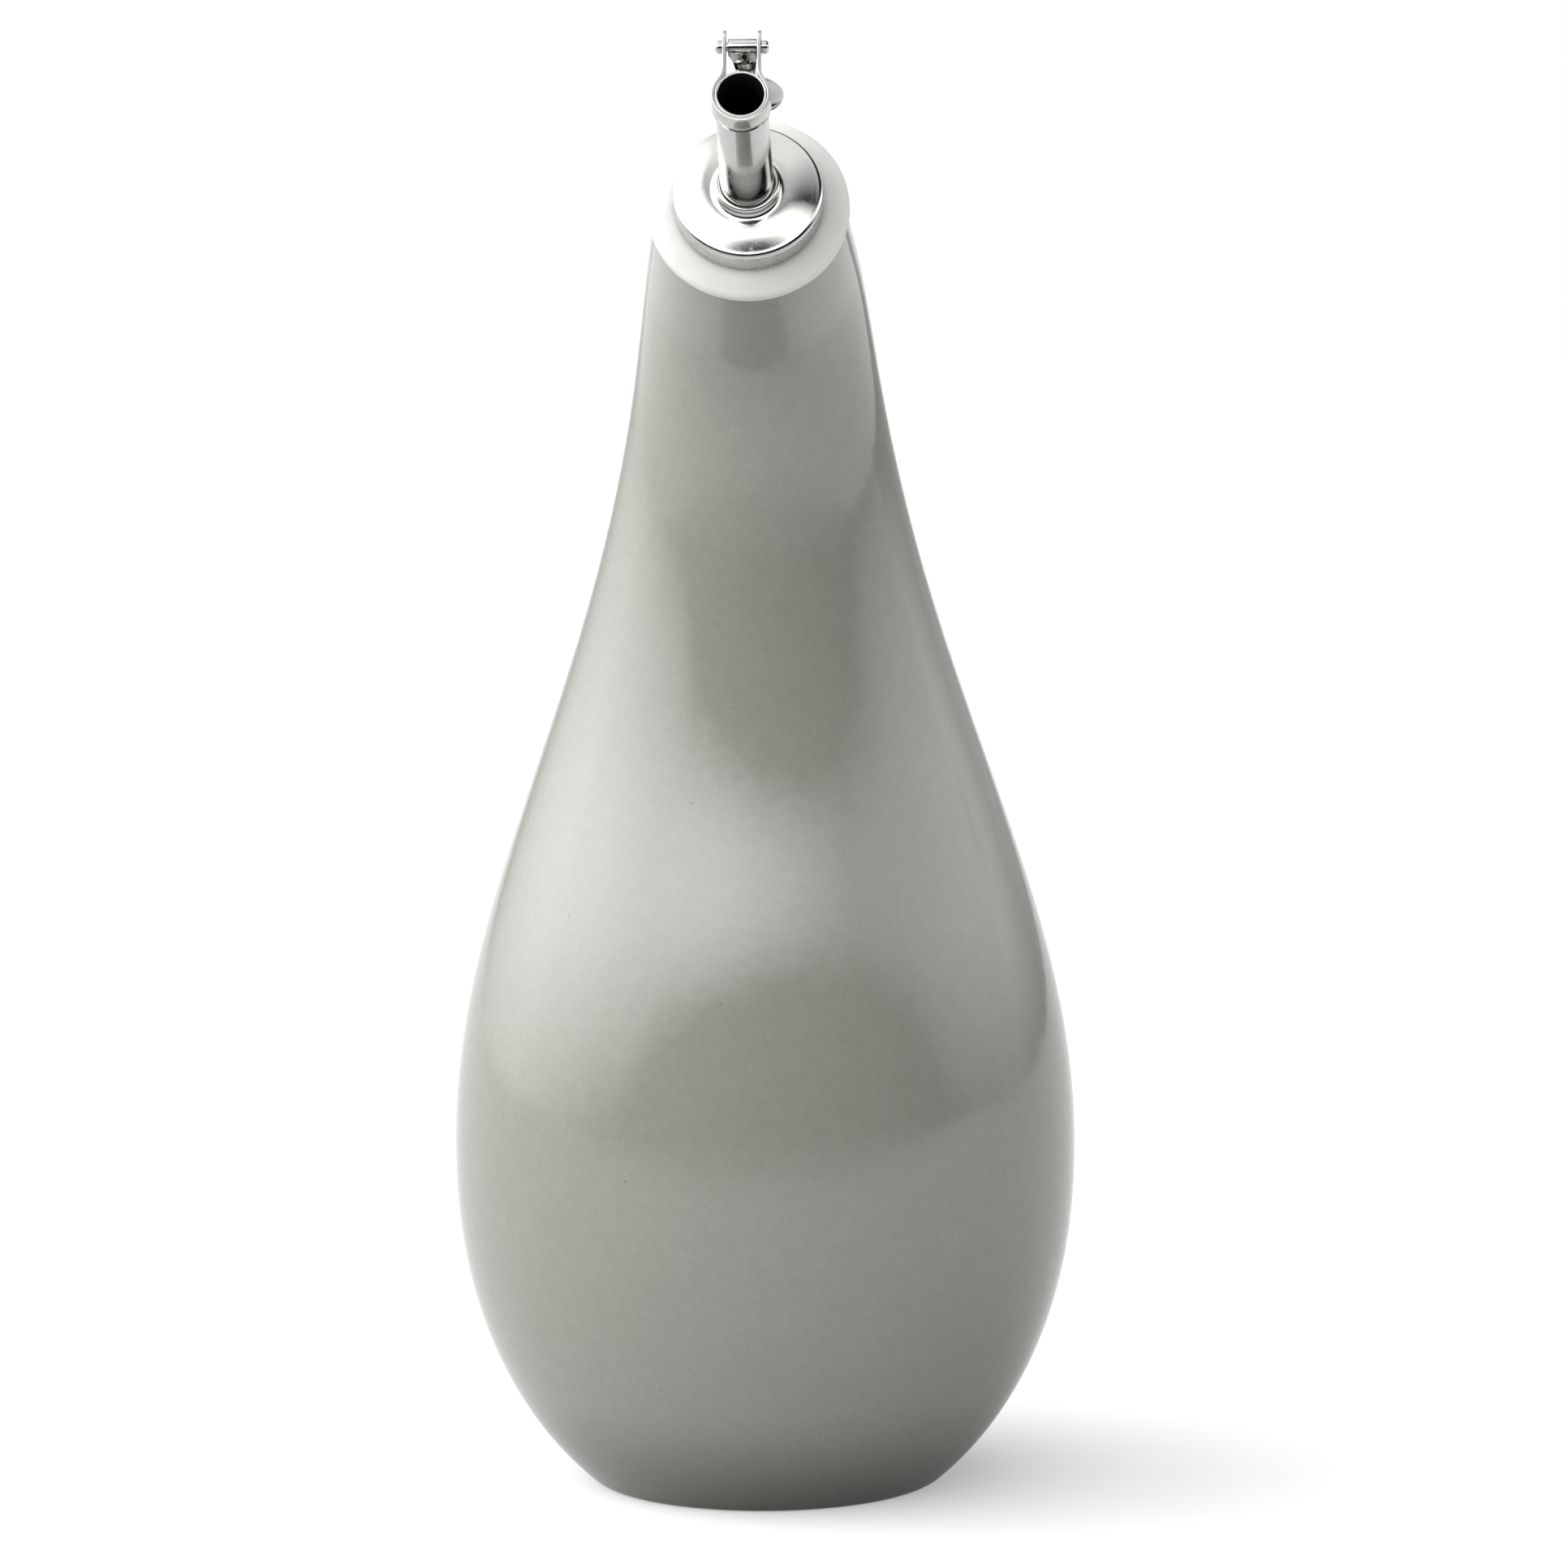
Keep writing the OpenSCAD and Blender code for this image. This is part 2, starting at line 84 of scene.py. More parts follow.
class BottleBody(bpy.types.PropertyGroup):
    """Sizes of the glazed body, measured along its leaning centre line."""

    belly_d: length("Belly", "Widest outside diameter", 106.8)
    belly_h: length("Belly height", "Height of the widest ring above the table", 59)
    foot_d: length("Foot", "Outside diameter where the body meets the table", 59)
    fullness: plain("Fullness", "Power of the curve under the belly", 2.19)
    shoulder_spread: length("Shoulder spread", "How slowly the shoulder draws in", 92.3)
    wall: length("Wall", "Thickness of the body", 4.3)
    floor_t: length("Floor", "Thickness of the bottom", 5)
    recess_depth: length("Recess depth", "Hollow under the bottom", 2.2)
    foot_ring_w: length("Foot ring", "Width of the ring that stands on the table", 6.5)
    foot_edge: length("Foot edge", "Rounding at the outside of the foot", 0.9)
    bend_start: length("Bend start", "Upright length below the lean", 90)
    bend_len: length("Bend length", "Length of centre line that leans and bends", 132)
    lean_share: share("Lean share", "Share of the tilt taken by the early lean", 0.103)
    lean_span: share("Lean span", "Share of the bend over which the lean grows", 0.41)
    bend_ease: plain("Bend ease", "Power that gathers the bend near the neck", 3.9)
    neck_tilt: angle("Neck tilt", "Tilt of the mouth's axis from upright", 57.8)
    neck_len: length("Neck", "Straight length below the mouth", 19)
    neck_d: length("Neck diameter", "Diameter the outside draws in to", 32.8)
    mouth_draw: length("Mouth draw", "How far the outside draws in further at the mouth", 1.5)
    draw_len: length("Draw length", "Length below the mouth over which it does so", 46)
    bore_d: length("Bore", "Diameter that the stopper seals in", 25.4)
    lip_round: length("Lip", "Rounding of the mouth's outer edge", 1.7)
    bore_round: length("Bore edge", "Rounding of the mouth's inner edge", 0.9)


class StopperSizes(bpy.types.PropertyGroup):
    """Sizes of the moulded stopper, measured from the mouth."""

    flange_d: length("Flange", "Diameter of the flange on the mouth", 33.2)
    flange_edge: length("Flange edge", "Height of its upright edge", 1.9)
    flange_crown: length("Flange crown", "Height of its crown beside the cover", 3.4)
    plug_len: length("Plug", "Length inside the bore", 18)
    core_d: length("Core", "Diameter between the fins", 20.8)
    fin_gap: length("Fin gap", "Room between a fin and the bore", 0.05)
    fin_root: length("Fin", "Thickness of a fin at its root", 2)
    fin_rim: length("Fin rim", "Thickness of a fin at its rim", 0.9)
    fin_count: bpy.props.IntProperty(name="Fins", description="Sealing fins", default=3, min=1)


class PourerSizes(bpy.types.PropertyGroup):
    """Sizes of the steel pourer, measured from the mouth."""

    cover_d: length("Cover", "Diameter of the drawn cover", 24.7)
    cover_h: length("Cover height", "Height of its side", 4.4)
    cover_round: length("Cover edge", "Rounding of its top edge", 1)
    cover_rise: length("Cover rise", "Rise of its top to the collar", 1.6)
    sheet: length("Sheet", "Thickness of its sheet", 0.5)
    collar_d: length("Collar", "Diameter of the collar round the spout", 10.8)
    collar_h: length("Collar height", "Height of the collar", 1.4)
    spout_base_d: length("Spout foot", "Diameter of the spout at the collar", 8.95)
    spout_tip_d: length("Spout tip", "Diameter of the spout at its open end", 8.45)
    spout_wall: length("Spout wall", "Thickness of the tube", 0.45)
    spout_len: length("Spout", "Length above the collar", 30.5)
    spout_below: length("Spout below", "Length under the plug", 3)
    vent_d: length("Breather", "Diameter of the breather tube", 2.8)
    vent_wall: length("Breather wall", "Thickness of the breather tube", 0.35)
    vent_offset: length("Breather offset", "Distance from the spout's axis", 7.4)
    vent_below: length("Breather below", "Length under the plug", 12)
    vent_above: length("Breather above", "Height over the cover", 1.2)


class LidSizes(bpy.types.PropertyGroup):
    """Sizes of the strap, pin and flip lid at the spout's open end."""

    strap_t: length("Strap", "Thickness of the strap", 0.55)
    strap_w: length("Strap width", "Width of the strap along the spout", 4.2)
    ear_x: length("Ears", "Distance of an ear from the middle", 2.82)
    ear_sweep: length("Sweep", "Radius of the sweep from ring to ear", 4.1)
    ear_top: length("Ear top", "Height of an ear past the pin", 2.75)
    pin_h: length("Pin height", "Distance of the pin from the spout's axis", 9.65)
    pin_d: length("Pin", "Diameter of the pin", 1.5)
    head_d: length("Pin head", "Diameter of the pin's heads", 2.15)
    head_t: length("Head height", "Height of the pin's heads", 1.2)
    pin_gap: length("Pin play", "Room round the pin in the knuckle", 0.05)
    lid_t: length("Lid sheet", "Thickness of the lid", 0.55)
    lid_d: length("Lid", "Diameter of the lid", 11.5)
    dome_rise: length("Dome", "Rise of the lid's dome", 1.75)
    rim_h: length("Rim", "Height of the lid's rim", 0.35)
    knuckle_w: length("Knuckle", "Width of the rolled knuckle", 4.7)
    arm_w: length("Arm", "Width of the arm at the lid", 2.7)
    knuckle_play: length("Side play", "How far the lid sits to one side", 0.1)
    lid_skew: length("Skew", "How far the lid's middle lies off its arm", 0.6)
    lid_drop: length("Lid drop", "How far the lid's middle hangs past the axis", 0.65)
    closed_gap: length("Closed gap", "Room under the closed lid", 0.2)
    rest_gap: length("Rest gap", "Room between the open lid and the spout", 0.1)


class BottleColours(bpy.types.PropertyGroup):
    """Colours of the finishes."""

    glaze_light: colour("Glaze, light", "Thicker glaze", (0.270, 0.274, 0.240))
    glaze_dark: colour("Glaze, dark", "Thinner glaze", (0.246, 0.250, 0.216))
    glaze_speck: colour("Specks", "Pinholes and specks in the glaze", (0.19, 0.185, 0.155))
    clay: colour("Bare clay", "Unglazed foot ring", (0.55, 0.47, 0.38))
    silicone: colour("Silicone", "Moulded stopper", (0.57, 0.57, 0.555))
    steel: colour("Steel", "Polished steel", (0.56, 0.555, 0.54))
    # Painted shade: near black colour for the insides of the tubes, where there is only shade
    hollow: colour("Hollow", "Inside of the spout", (0.006, 0.006, 0.006))
    floor: colour("Floor", "Table under the bottle", (0.55, 0.55, 0.55))


class StudioSettings(bpy.types.PropertyGroup):
    """Camera and light of the studio."""

    camera_azimuth: angle("Azimuth", "Camera's turn from the front", 1.926)
    camera_elevation: angle("Elevation", "Camera's height over the level", 8.563)
    camera_roll: angle("Roll", "Camera's roll", -0.373)
    camera_distance: length("Distance", "Camera's distance from its aim", 1600)
    aim_height: length("Aim", "Height of the aim over the table", 110)
    focal_px: plain("Focal length", "Focal length in pixels of the picture", 11470.43)
    centre_x: plain("Centre across", "Pixels from the picture's middle to the aim", -25.338)
    centre_y: plain("Centre down", "Pixels from the picture's middle to the aim", 79.013)
    light_level: plain("Light", "Level of the studio light", 1.0)
    floor_radius: length("Floor", "Radius of the table", 2000)


GROUPS = (
    ("bottle_body", BottleBody),
    ("bottle_stopper", StopperSizes),
    ("bottle_pourer", PourerSizes),
    ("bottle_lid", LidSizes),
    ("bottle_colours", BottleColours),
    ("bottle_studio", StudioSettings),
)


# ---------- sizes that follow from the others ----------


def smooth(t):
    """Eased step from 0 to 1."""
    t = min(max(t, 0.0), 1.0)
    return t * t * (3 - 2 * t)


class BodyForm:
    """Radii and centre line of the body, by distance along that line."""

    PATH_STEPS = 192
    SLOPE_REACH = 0.05 * MM

    def __init__(self, body):
        self.body = body
        self.belly_r = body.belly_d / 2
        self.foot_r = body.foot_d / 2
        self.bore_r = body.bore_d / 2
        self.bend_end = body.bend_start + body.bend_len
        self.mouth_at = self.bend_end + body.neck_len
        ratio = self.foot_r / self.belly_r
        self.lower_h = body.belly_h / (1 - ratio**2) ** (1 / body.fullness)
        self.neck_wall = self.outer_r(self.bend_end) - self.bore_r
        self.line = [(0.0, body.bend_start)]
        step = body.bend_len / self.PATH_STEPS
        for i in range(self.PATH_STEPS):
            turn = self.tilt((i + 0.5) / self.PATH_STEPS)
            y, z = self.line[-1]
            self.line.append((y - step * math.sin(turn), z + step * math.cos(turn)))

    def tilt(self, k):
        body = self.body
        lean = body.lean_share * smooth(k / body.lean_span)
        return body.neck_tilt * (lean + (1 - body.lean_share) * k**body.bend_ease)

    def outer_r(self, s):
        body = self.body
        if s < body.belly_h:
            below = (body.belly_h - s) / self.lower_h
            return self.belly_r * math.sqrt(1 - below**body.fullness)
        neck_r = body.neck_d / 2
        spread = math.exp(-(((s - body.belly_h) / body.shoulder_spread) ** 2))
        draw = max(0.0, (s - self.mouth_at) / body.draw_len + 1) ** 2
        return neck_r + (self.belly_r - neck_r) * spread - body.mouth_draw * draw

    def inner_r(self, s):
        body = self.body
        if s >= self.bend_end:
            return self.bore_r
        reach = self.SLOPE_REACH
        slope = (self.outer_r(s + reach) - self.outer_r(s - reach)) / (2 * reach)
        k = smooth((s - body.bend_start) / body.bend_len)
        wall = body.wall * math.sqrt(1 + slope**2) * (1 - k) + self.neck_wall * k
        return self.outer_r(s) - wall

    def ring(self, s, radius):
        """Ring across the centre line: depth, height, tilt and radius."""
        body = self.body
        if s <= body.bend_start:
            return 0.0, s, 0.0, radius
        if s >= self.bend_end:
            y, z = self.line[-1]
            past = s - self.bend_end
            tilt = body.neck_tilt
            return y - past * math.sin(tilt), z + past * math.cos(tilt), tilt, radius
        k = (s - body.bend_start) / body.bend_len
        at = k * self.PATH_STEPS
        i = min(int(at), self.PATH_STEPS - 1)
        t = at - i
        (y0, z0), (y1, z1) = self.line[i], self.line[i + 1]
        return y0 + (y1 - y0) * t, z0 + (z1 - z0) * t, self.tilt(k), radius

    def neck_matrix(self):
        y, z, tilt, _ = self.ring(self.mouth_at, 0)
        return Matrix.Translation((0, y, z)) @ Matrix.Rotation(tilt, 4, "X")


class Stack:
    """Heights up the neck's axis, and the hinge."""

    # Room between pieces that fit on each other, and from the strap to the spout's taper
    FIT = 0.02 * MM
    STRAP_CLEAR = 2 * MM

    def __init__(self, scene):
        stopper, pourer, lid = scene.bottle_stopper, scene.bottle_pourer, scene.bottle_lid
        self.cover_edge = stopper.flange_crown + self.FIT
        self.cover_top = self.cover_edge + pourer.cover_h
        self.collar_foot = self.cover_top + pourer.cover_rise
        self.collar_top = self.collar_foot + pourer.collar_h
        self.spout_end = self.collar_top + pourer.spout_len
        self.taper_end = self.spout_end - lid.strap_w - self.STRAP_CLEAR
        self.plug_end = -stopper.plug_len
        self.pin_z = self.spout_end - lid.strap_w / 2
        self.strap_r = pourer.spout_tip_d / 2 + self.FIT + lid.strap_t / 2
        self.sweep_angle = math.acos((lid.ear_x + lid.ear_sweep) / (self.strap_r + lid.ear_sweep))
        self.sweep_y = (self.strap_r + lid.ear_sweep) * math.sin(self.sweep_angle)
        self.lid_reach = lid.pin_h + lid.lid_drop
        self.lid_face = lid.strap_w / 2 + lid.closed_gap
        lid_r = lid.lid_d / 2
        self.dome_r = (lid_r**2 + lid.dome_rise**2) / (2 * lid.dome_rise)
        self.dome_z = self.lid_face + lid.rim_h + lid.dome_rise - self.dome_r
        reach = math.hypot(self.lid_reach, self.dome_z)
        clear = pourer.spout_tip_d / 2 + lid.rest_gap + self.dome_r - lid.pin_h
        lie = math.asin(clear / reach) + math.atan2(self.lid_reach, -self.dome_z)
        self.lid_open = math.tau - lie

    def pin_matrix(self, scene):
        lid = scene.bottle_lid
        return (
            BodyForm(scene.bottle_body).neck_matrix()
            @ Matrix.Translation((0, lid.pin_h, self.pin_z))
        )


# ---------- modelling by hand ----------


def clear_selection():
    if bpy.context.object and bpy.context.object.mode != "OBJECT":
        bpy.ops.object.mode_set(mode="OBJECT")
    bpy.ops.object.select_all(action="DESELECT")


def only(piece):
    clear_selection()
    piece.select_set(True)
    bpy.context.view_layer.objects.active = piece


def start_point(name, place):
    """One loose point to draw an outline from."""
    clear_selection()
    bpy.ops.mesh.primitive_circle_add(vertices=3, radius=MM)
    piece = bpy.context.object
    piece.name = piece.data.name = name
    bpy.ops.object.mode_set(mode="EDIT")
    bpy.ops.mesh.select_mode(type="VERT")
    bpy.ops.mesh.select_all(action="SELECT")
    bpy.ops.mesh.merge(type="CENTER")
    bpy.ops.transform.translate(value=place)
    return piece


def draw_on(points):
    """Extrudes the selected point along the rest of an outline."""
    for before, after in zip(points, points[1:]):
        step = Vector(after) - Vector(before)
        bpy.ops.mesh.extrude_region_move(TRANSFORM_OT_translate={"value": step})


def close_skin():
    bpy.ops.mesh.select_all(action="SELECT")
    bpy.ops.mesh.remove_doubles(threshold=MERGE)
    bpy.ops.mesh.normals_make_consistent(inside=False)


def turn(name, profile, sides, axis="Z"):
    """Turned piece from a closed half section of (radius, height)."""
    if axis == "Z":
        points = [(r, 0, z) for r, z in profile]
        spindle = (0, 0, 1)
    else:
        points = [(z, 0, r) for r, z in profile]
        spindle = (1, 0, 0)
    piece = start_point(name, points[0])
    draw_on(points)
    bpy.ops.mesh.select_all(action="SELECT")
    bpy.ops.mesh.spin(steps=sides, angle=math.tau, center=(0, 0, 0), axis=spindle)
    close_skin()
    bpy.ops.object.mode_set(mode="OBJECT")
    return piece


def select_by(piece, test, kind="FACE"):
    """In edit mode, selects the faces or points whose middle passes the test."""
    bpy.ops.mesh.select_mode(type=kind)
    bpy.ops.mesh.select_all(action="DESELECT")
    bpy.ops.object.mode_set(mode="OBJECT")
    if kind == "FACE":
        for face in piece.data.polygons:
            face.select = test(face.center)
    else:
        for point in piece.data.vertices:
            point.select = test(point.co)
    bpy.ops.object.mode_set(mode="EDIT")


def pierce(piece, x, y, low, high, radius, sides=32):
    """Drills a hole parallel to Z."""
    clear_selection()
    bpy.ops.mesh.primitive_circle_add(
        vertices=sides, radius=radius, fill_type="NGON", location=(x, y, low)
    )
    drill = bpy.context.object
    bpy.ops.object.mode_set(mode="EDIT")
    bpy.ops.mesh.extrude_region_move(TRANSFORM_OT_translate={"value": (0, 0, high - low)})
    close_skin()
    bpy.ops.object.mode_set(mode="OBJECT")
    only(piece)
    cut = piece.modifiers.new("hole", "BOOLEAN")
    cut.operation = "DIFFERENCE"
    cut.solver = "EXACT"
    cut.object = drill
    bpy.ops.object.modifier_apply(modifier=cut.name)
    bpy.data.objects.remove(drill)


def soften(piece, width, segments=2, limit=35):
    """Rounds the sharp edges."""
    only(piece)
    edge = piece.modifiers.new("edge", "BEVEL")
    edge.width = width
    edge.segments = segments
    edge.limit_method = "ANGLE"
    edge.angle_limit = math.radians(limit)
    bpy.ops.object.modifier_apply(modifier=edge.name)


def thicken(piece, thickness):
    only(piece)
    sheet = piece.modifiers.new("sheet", "SOLIDIFY")
    sheet.thickness = thickness
    sheet.offset = 0
    sheet.use_even_offset = True
    bpy.ops.object.modifier_apply(modifier=sheet.name)


def set_down(piece, place, smooth_angle):
    """Moves a finished mesh to its place, with the object left at the origin."""
    only(piece)
    piece.matrix_world = place
    bpy.ops.object.transform_apply(location=True, rotation=True, scale=True)
    bpy.ops.object.shade_smooth_by_angle(angle=math.radians(smooth_angle))


def finish_piece(piece, node, body, slot, *finishes):
    for name in finishes:
        piece.data.materials.append(finish_named(name))
    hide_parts(node)
    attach(piece, body)


def paint_faces(piece, slot_index, test):
    """Gives the faces that pass the test another of the piece's materials."""
    only(piece)
    bpy.ops.object.mode_set(mode="EDIT")
    select_by(piece, test)
    piece.active_material_index = slot_index
    bpy.ops.object.material_slot_assign()
    bpy.ops.object.mode_set(mode="OBJECT")


def quarter(steps):
    """Sines and cosines along a quarter turn, with both its ends."""
    turns = [math.radians(90 * i / steps) for i in range(steps + 1)]
    return [(math.sin(a), math.cos(a)) for a in turns]


def bow(x, z, radius, start, end, steps):
    """Points of an arc in a half section, from start to end in degrees."""
    points = []
    for i in range(steps + 1):
        a = math.radians(start + (end - start) * i / steps)
        points.append((x + radius * math.cos(a), z + radius * math.sin(a)))
    return points


# ---------- shader nodes ----------


def add_node(tree, kind, inputs=None, **settings):
    node = tree.nodes.new(kind)
    for name, value in settings.items():
        setattr(node, name, value)
    for name, value in (inputs or {}).items():
        if isinstance(value, bpy.types.NodeSocket):
            tree.links.new(value, node.inputs[name])
        else:
            node.inputs[name].default_value = value
    return node


def maths(tree, operation, first, second=0.0, clamp=False):
    return add_node(
        tree, "ShaderNodeMath", {0: first, 1: second}, operation=operation, use_clamp=clamp
    ).outputs[0]


def blend_colours(tree, factor, first, second):
    node = add_node(tree, "ShaderNodeMix", data_type="RGBA")
    for index, value in ((0, factor), (6, first), (7, second)):
        if isinstance(value, bpy.types.NodeSocket):
            tree.links.new(value, node.inputs[index])
        elif index == 0:
            node.inputs[index].default_value = value
        else:
            node.inputs[index].default_value = (*value, 1)
    return node.outputs[2]


def ramp(tree, value, low, high, to_low=0.0, to_high=1.0, easing="SMOOTHSTEP"):
    return add_node(
        tree, "ShaderNodeMapRange",
        {"Value": value, "From Min": low, "From Max": high, "To Min": to_low, "To Max": to_high},
        interpolation_type=easing,
    ).outputs["Result"]


def spread(tree, mask, low, high):
    """Value from low to high, as the mask goes from 0 to 1."""
    return ramp(tree, mask, 0.0, 1.0, low, high, "LINEAR")


def from_shelf(shelf, name, make, *values):
    """What Blender holds by that name, which is made when it is first asked for."""
    return shelf[name] if name in shelf else make(name, *values)


def new_group(name, inputs, outputs):
    """Node group with named sockets: inputs as (name, kind, default)."""
    tree = bpy.data.node_groups.new(name, "ShaderNodeTree")
    for label, kind, default in inputs:
        socket = tree.interface.new_socket(label, in_out="INPUT", socket_type=kind)
        if default is not None:
            socket.default_value = default
    for label in outputs:
        tree.interface.new_socket(label, in_out="OUTPUT", socket_type="NodeSocketFloat")
    entry = tree.nodes.new("NodeGroupInput")
    leave = tree.nodes.new("NodeGroupOutput")
    return tree, entry.outputs, leave.inputs


FLOAT = "NodeSocketFloat"
VECTOR = "NodeSocketVector"


# Middle of the noise that the clouding spreads from 0 to 1
CLOUD_RANGE = (0.32, 0.68)


def clouding_group(name):
    """Soft variation at a broad and a fine size."""
    tree, entry, leave = new_group(
        name,
        (("Place", VECTOR, None), ("Broad", FLOAT, 120.0), ("Fine", FLOAT, 700.0),
         ("Fine Share", FLOAT, 0.4)),
        ("Cloud", "Grain"),
    )
    broad = add_node(tree, "ShaderNodeTexNoise",
                     {"Vector": entry["Place"], "Scale": entry["Broad"], "Detail": 3.0})
    fine = add_node(tree, "ShaderNodeTexNoise",
                    {"Vector": entry["Place"], "Scale": entry["Fine"], "Detail": 2.0})
    kept = maths(tree, "SUBTRACT", 1.0, entry["Fine Share"])
    cloud = maths(
        tree, "ADD",
        maths(tree, "MULTIPLY", broad.outputs[0], kept),
        maths(tree, "MULTIPLY", fine.outputs[0], entry["Fine Share"]),
    )
    tree.links.new(ramp(tree, cloud, *CLOUD_RANGE), leave["Cloud"])
    tree.links.new(fine.outputs[0], leave["Grain"])
    return tree


# Share of the size that the smallest speck has, and of a speck that is full
SPECK_LEAST = 0.35
SPECK_CORE = 0.6


def specks_group(name):
    """Small round specks, sparse and uneven in size."""
    tree, entry, leave = new_group(
        name,
        (("Place", VECTOR, None), ("Scale", FLOAT, 260.0), ("Size", FLOAT, 0.1),
         ("Rarity", FLOAT, 0.8)),
        ("Mask",),
    )
    cells = add_node(tree, "ShaderNodeTexVoronoi",
                     {"Vector": entry["Place"], "Scale": entry["Scale"]})
    pick = add_node(tree, "ShaderNodeSeparateColor", {"Color": cells.outputs["Color"]})
    rare = maths(tree, "GREATER_THAN", pick.outputs[0], entry["Rarity"])
    growth = maths(tree, "ADD", pick.outputs[1], SPECK_LEAST)
    radius = maths(tree, "MULTIPLY", entry["Size"], growth)
    off = maths(tree, "DIVIDE", cells.outputs["Distance"], radius)
    dot = ramp(tree, off, SPECK_CORE, 1.0, 1.0, 0.0)
    tree.links.new(maths(tree, "MULTIPLY", rare, dot), leave["Mask"])
    return tree


# Directions of the scratches in degrees, their tilt, and how far their noise is drawn out
SCRATCH_TURNS = (17.0, 74.0, 131.0)
SCRATCH_TILT = 0.4
SCRATCH_STRETCH = 0.12
# Scratches come in patches: size of the patches, and the noise from none to full
PATCH_SCALE = 160.0
PATCH_RANGE = (0.45, 0.62)


def scratches_group(name):
    """Fine scratches: thin lines left where a stretched noise crosses a level."""
    tree, entry, leave = new_group(
        name,
        (("Place", VECTOR, None), ("Scale", FLOAT, 300.0), ("Width", FLOAT, 0.02)),
        ("Mask",),
    )
    lines = None
    for angle_deg in SCRATCH_TURNS:
        turned = add_node(
            tree, "ShaderNodeMapping",
            {"Vector": entry["Place"],
             "Rotation": (SCRATCH_TILT, math.radians(angle_deg), math.radians(angle_deg)),
             "Scale": (1.0, SCRATCH_STRETCH, 1.0)},
        )
        noise = add_node(tree, "ShaderNodeTexNoise",
                         {"Vector": turned.outputs[0], "Scale": entry["Scale"], "Detail": 1.0})
        off = maths(tree, "ABSOLUTE", maths(tree, "SUBTRACT", noise.outputs[0], 0.5))
        line = ramp(tree, maths(tree, "DIVIDE", off, entry["Width"]), 0.0, 1.0, 1.0, 0.0)
        lines = line if lines is None else maths(tree, "MAXIMUM", lines, line)
    patch = add_node(tree, "ShaderNodeTexNoise", {"Vector": entry["Place"], "Scale": PATCH_SCALE})
    patchy = ramp(tree, patch.outputs[0], *PATCH_RANGE)
    tree.links.new(maths(tree, "MULTIPLY", lines, patchy), leave["Mask"])
    return tree


def new_material(name):
    material = bpy.data.materials.new(name)
    material.use_nodes = True
    tree = material.node_tree
    shader = tree.nodes["Principled BSDF"]
    place = add_node(tree, "ShaderNodeTexCoord").outputs["Object"]
    return material, tree, shader, place


NODE_GROUPS = {
    "Clouding": clouding_group,
    "Specks": specks_group,
    "Scratches": scratches_group,
}


def use_group(tree, name, **inputs):
    node = tree.nodes.new("ShaderNodeGroup")
    node.node_tree = from_shelf(bpy.data.node_groups, name, NODE_GROUPS[name])
    for label, value in inputs.items():
        socket = node.inputs[label.replace("_", " ")]
        if isinstance(value, bpy.types.NodeSocket):
            tree.links.new(value, socket)
        else:
            socket.default_value = value
    return node.outputs


def add_bump(tree, shader, height, distance, strength, under=None):
    inputs = {"Height": height, "Distance": distance, "Strength": strength}
    if under is not None:
        inputs["Normal"] = under
    bump = add_node(tree, "ShaderNodeBump", inputs)
    tree.links.new(bump.outputs["Normal"], shader.inputs["Normal"])
    return bump.outputs["Normal"]


def clouded(tree, place, dark, light, **sizes):
    """Clouding, and the colour that it spreads from dark to light."""
    cloud = use_group(tree, "Clouding", Place=place, **sizes)
    return cloud, blend_colours(tree, cloud["Cloud"], dark, light)


def dimmed(colour, by):
    return tuple(by * part for part in colour)


# Painted shade darkens the glaze towards the foot, and painted light keeps the neck paler than
# the body below it: heights and shares
FOOT_PAINTED_SHADE = (0.0, 22 * MM, 0.45, 1.0)
NECK_PAINTED_LIGHT = (150 * MM, 215 * MM, 0.78, 1.0)


def glaze_material(name, colours):
    material, tree, shader, place = new_material(name)
    cloud, tone = clouded(tree, place, colours.glaze_dark, colours.glaze_light,
                          Broad=420.0, Fine=1600.0, Fine_Share=0.6)
    specks = use_group(tree, "Specks", Place=place, Scale=190.0, Size=0.05, Rarity=0.8)
    tone = blend_colours(tree, specks["Mask"], tone, colours.glaze_speck)
    height = add_node(tree, "ShaderNodeSeparateXYZ", {"Vector": place}).outputs["Z"]
    # Painted shade towards the foot and painted light on the neck, multiplied into the glaze's
    # colour
    foot_shade, neck_light = ramp(tree, height, *FOOT_PAINTED_SHADE), ramp(tree, height, *NECK_PAINTED_LIGHT)
    tone = blend_colours(tree, maths(tree, "MULTIPLY", foot_shade, neck_light), (0.0, 0.0, 0.0), tone)
    tree.links.new(tone, shader.inputs["Base Color"])
    tree.links.new(spread(tree, cloud["Cloud"], 0.08, 0.14), shader.inputs["Roughness"])
    peel = add_node(tree, "ShaderNodeTexNoise", {"Vector": place, "Scale": 420.0, "Detail": 1.5})
    under = add_bump(tree, shader, peel.outputs[0], 0.03 * MM, strength=0.5)
    pits = maths(tree, "SUBTRACT", cloud["Grain"], maths(tree, "MULTIPLY", specks["Mask"], 2.0))
    add_bump(tree, shader, pits, 0.01 * MM, strength=0.25, under=under)
    shader.inputs["IOR"].default_value = 1.6
    return material


def clay_material(name, colours):
    material, tree, shader, place = new_material(name)
    cloud, tone = clouded(tree, place, dimmed(colours.clay, 0.72), colours.clay,
                          Broad=260.0, Fine=2600.0, Fine_Share=0.6)
    specks = use_group(tree, "Specks", Place=place, Scale=900.0, Size=0.25, Rarity=0.7)
    tone = blend_colours(tree, specks["Mask"], tone, colours.glaze_speck)
    tree.links.new(tone, shader.inputs["Base Color"])
    add_bump(tree, shader, cloud["Grain"], 0.08 * MM, strength=0.8)
    shader.inputs["Roughness"].default_value = 0.85
    return material


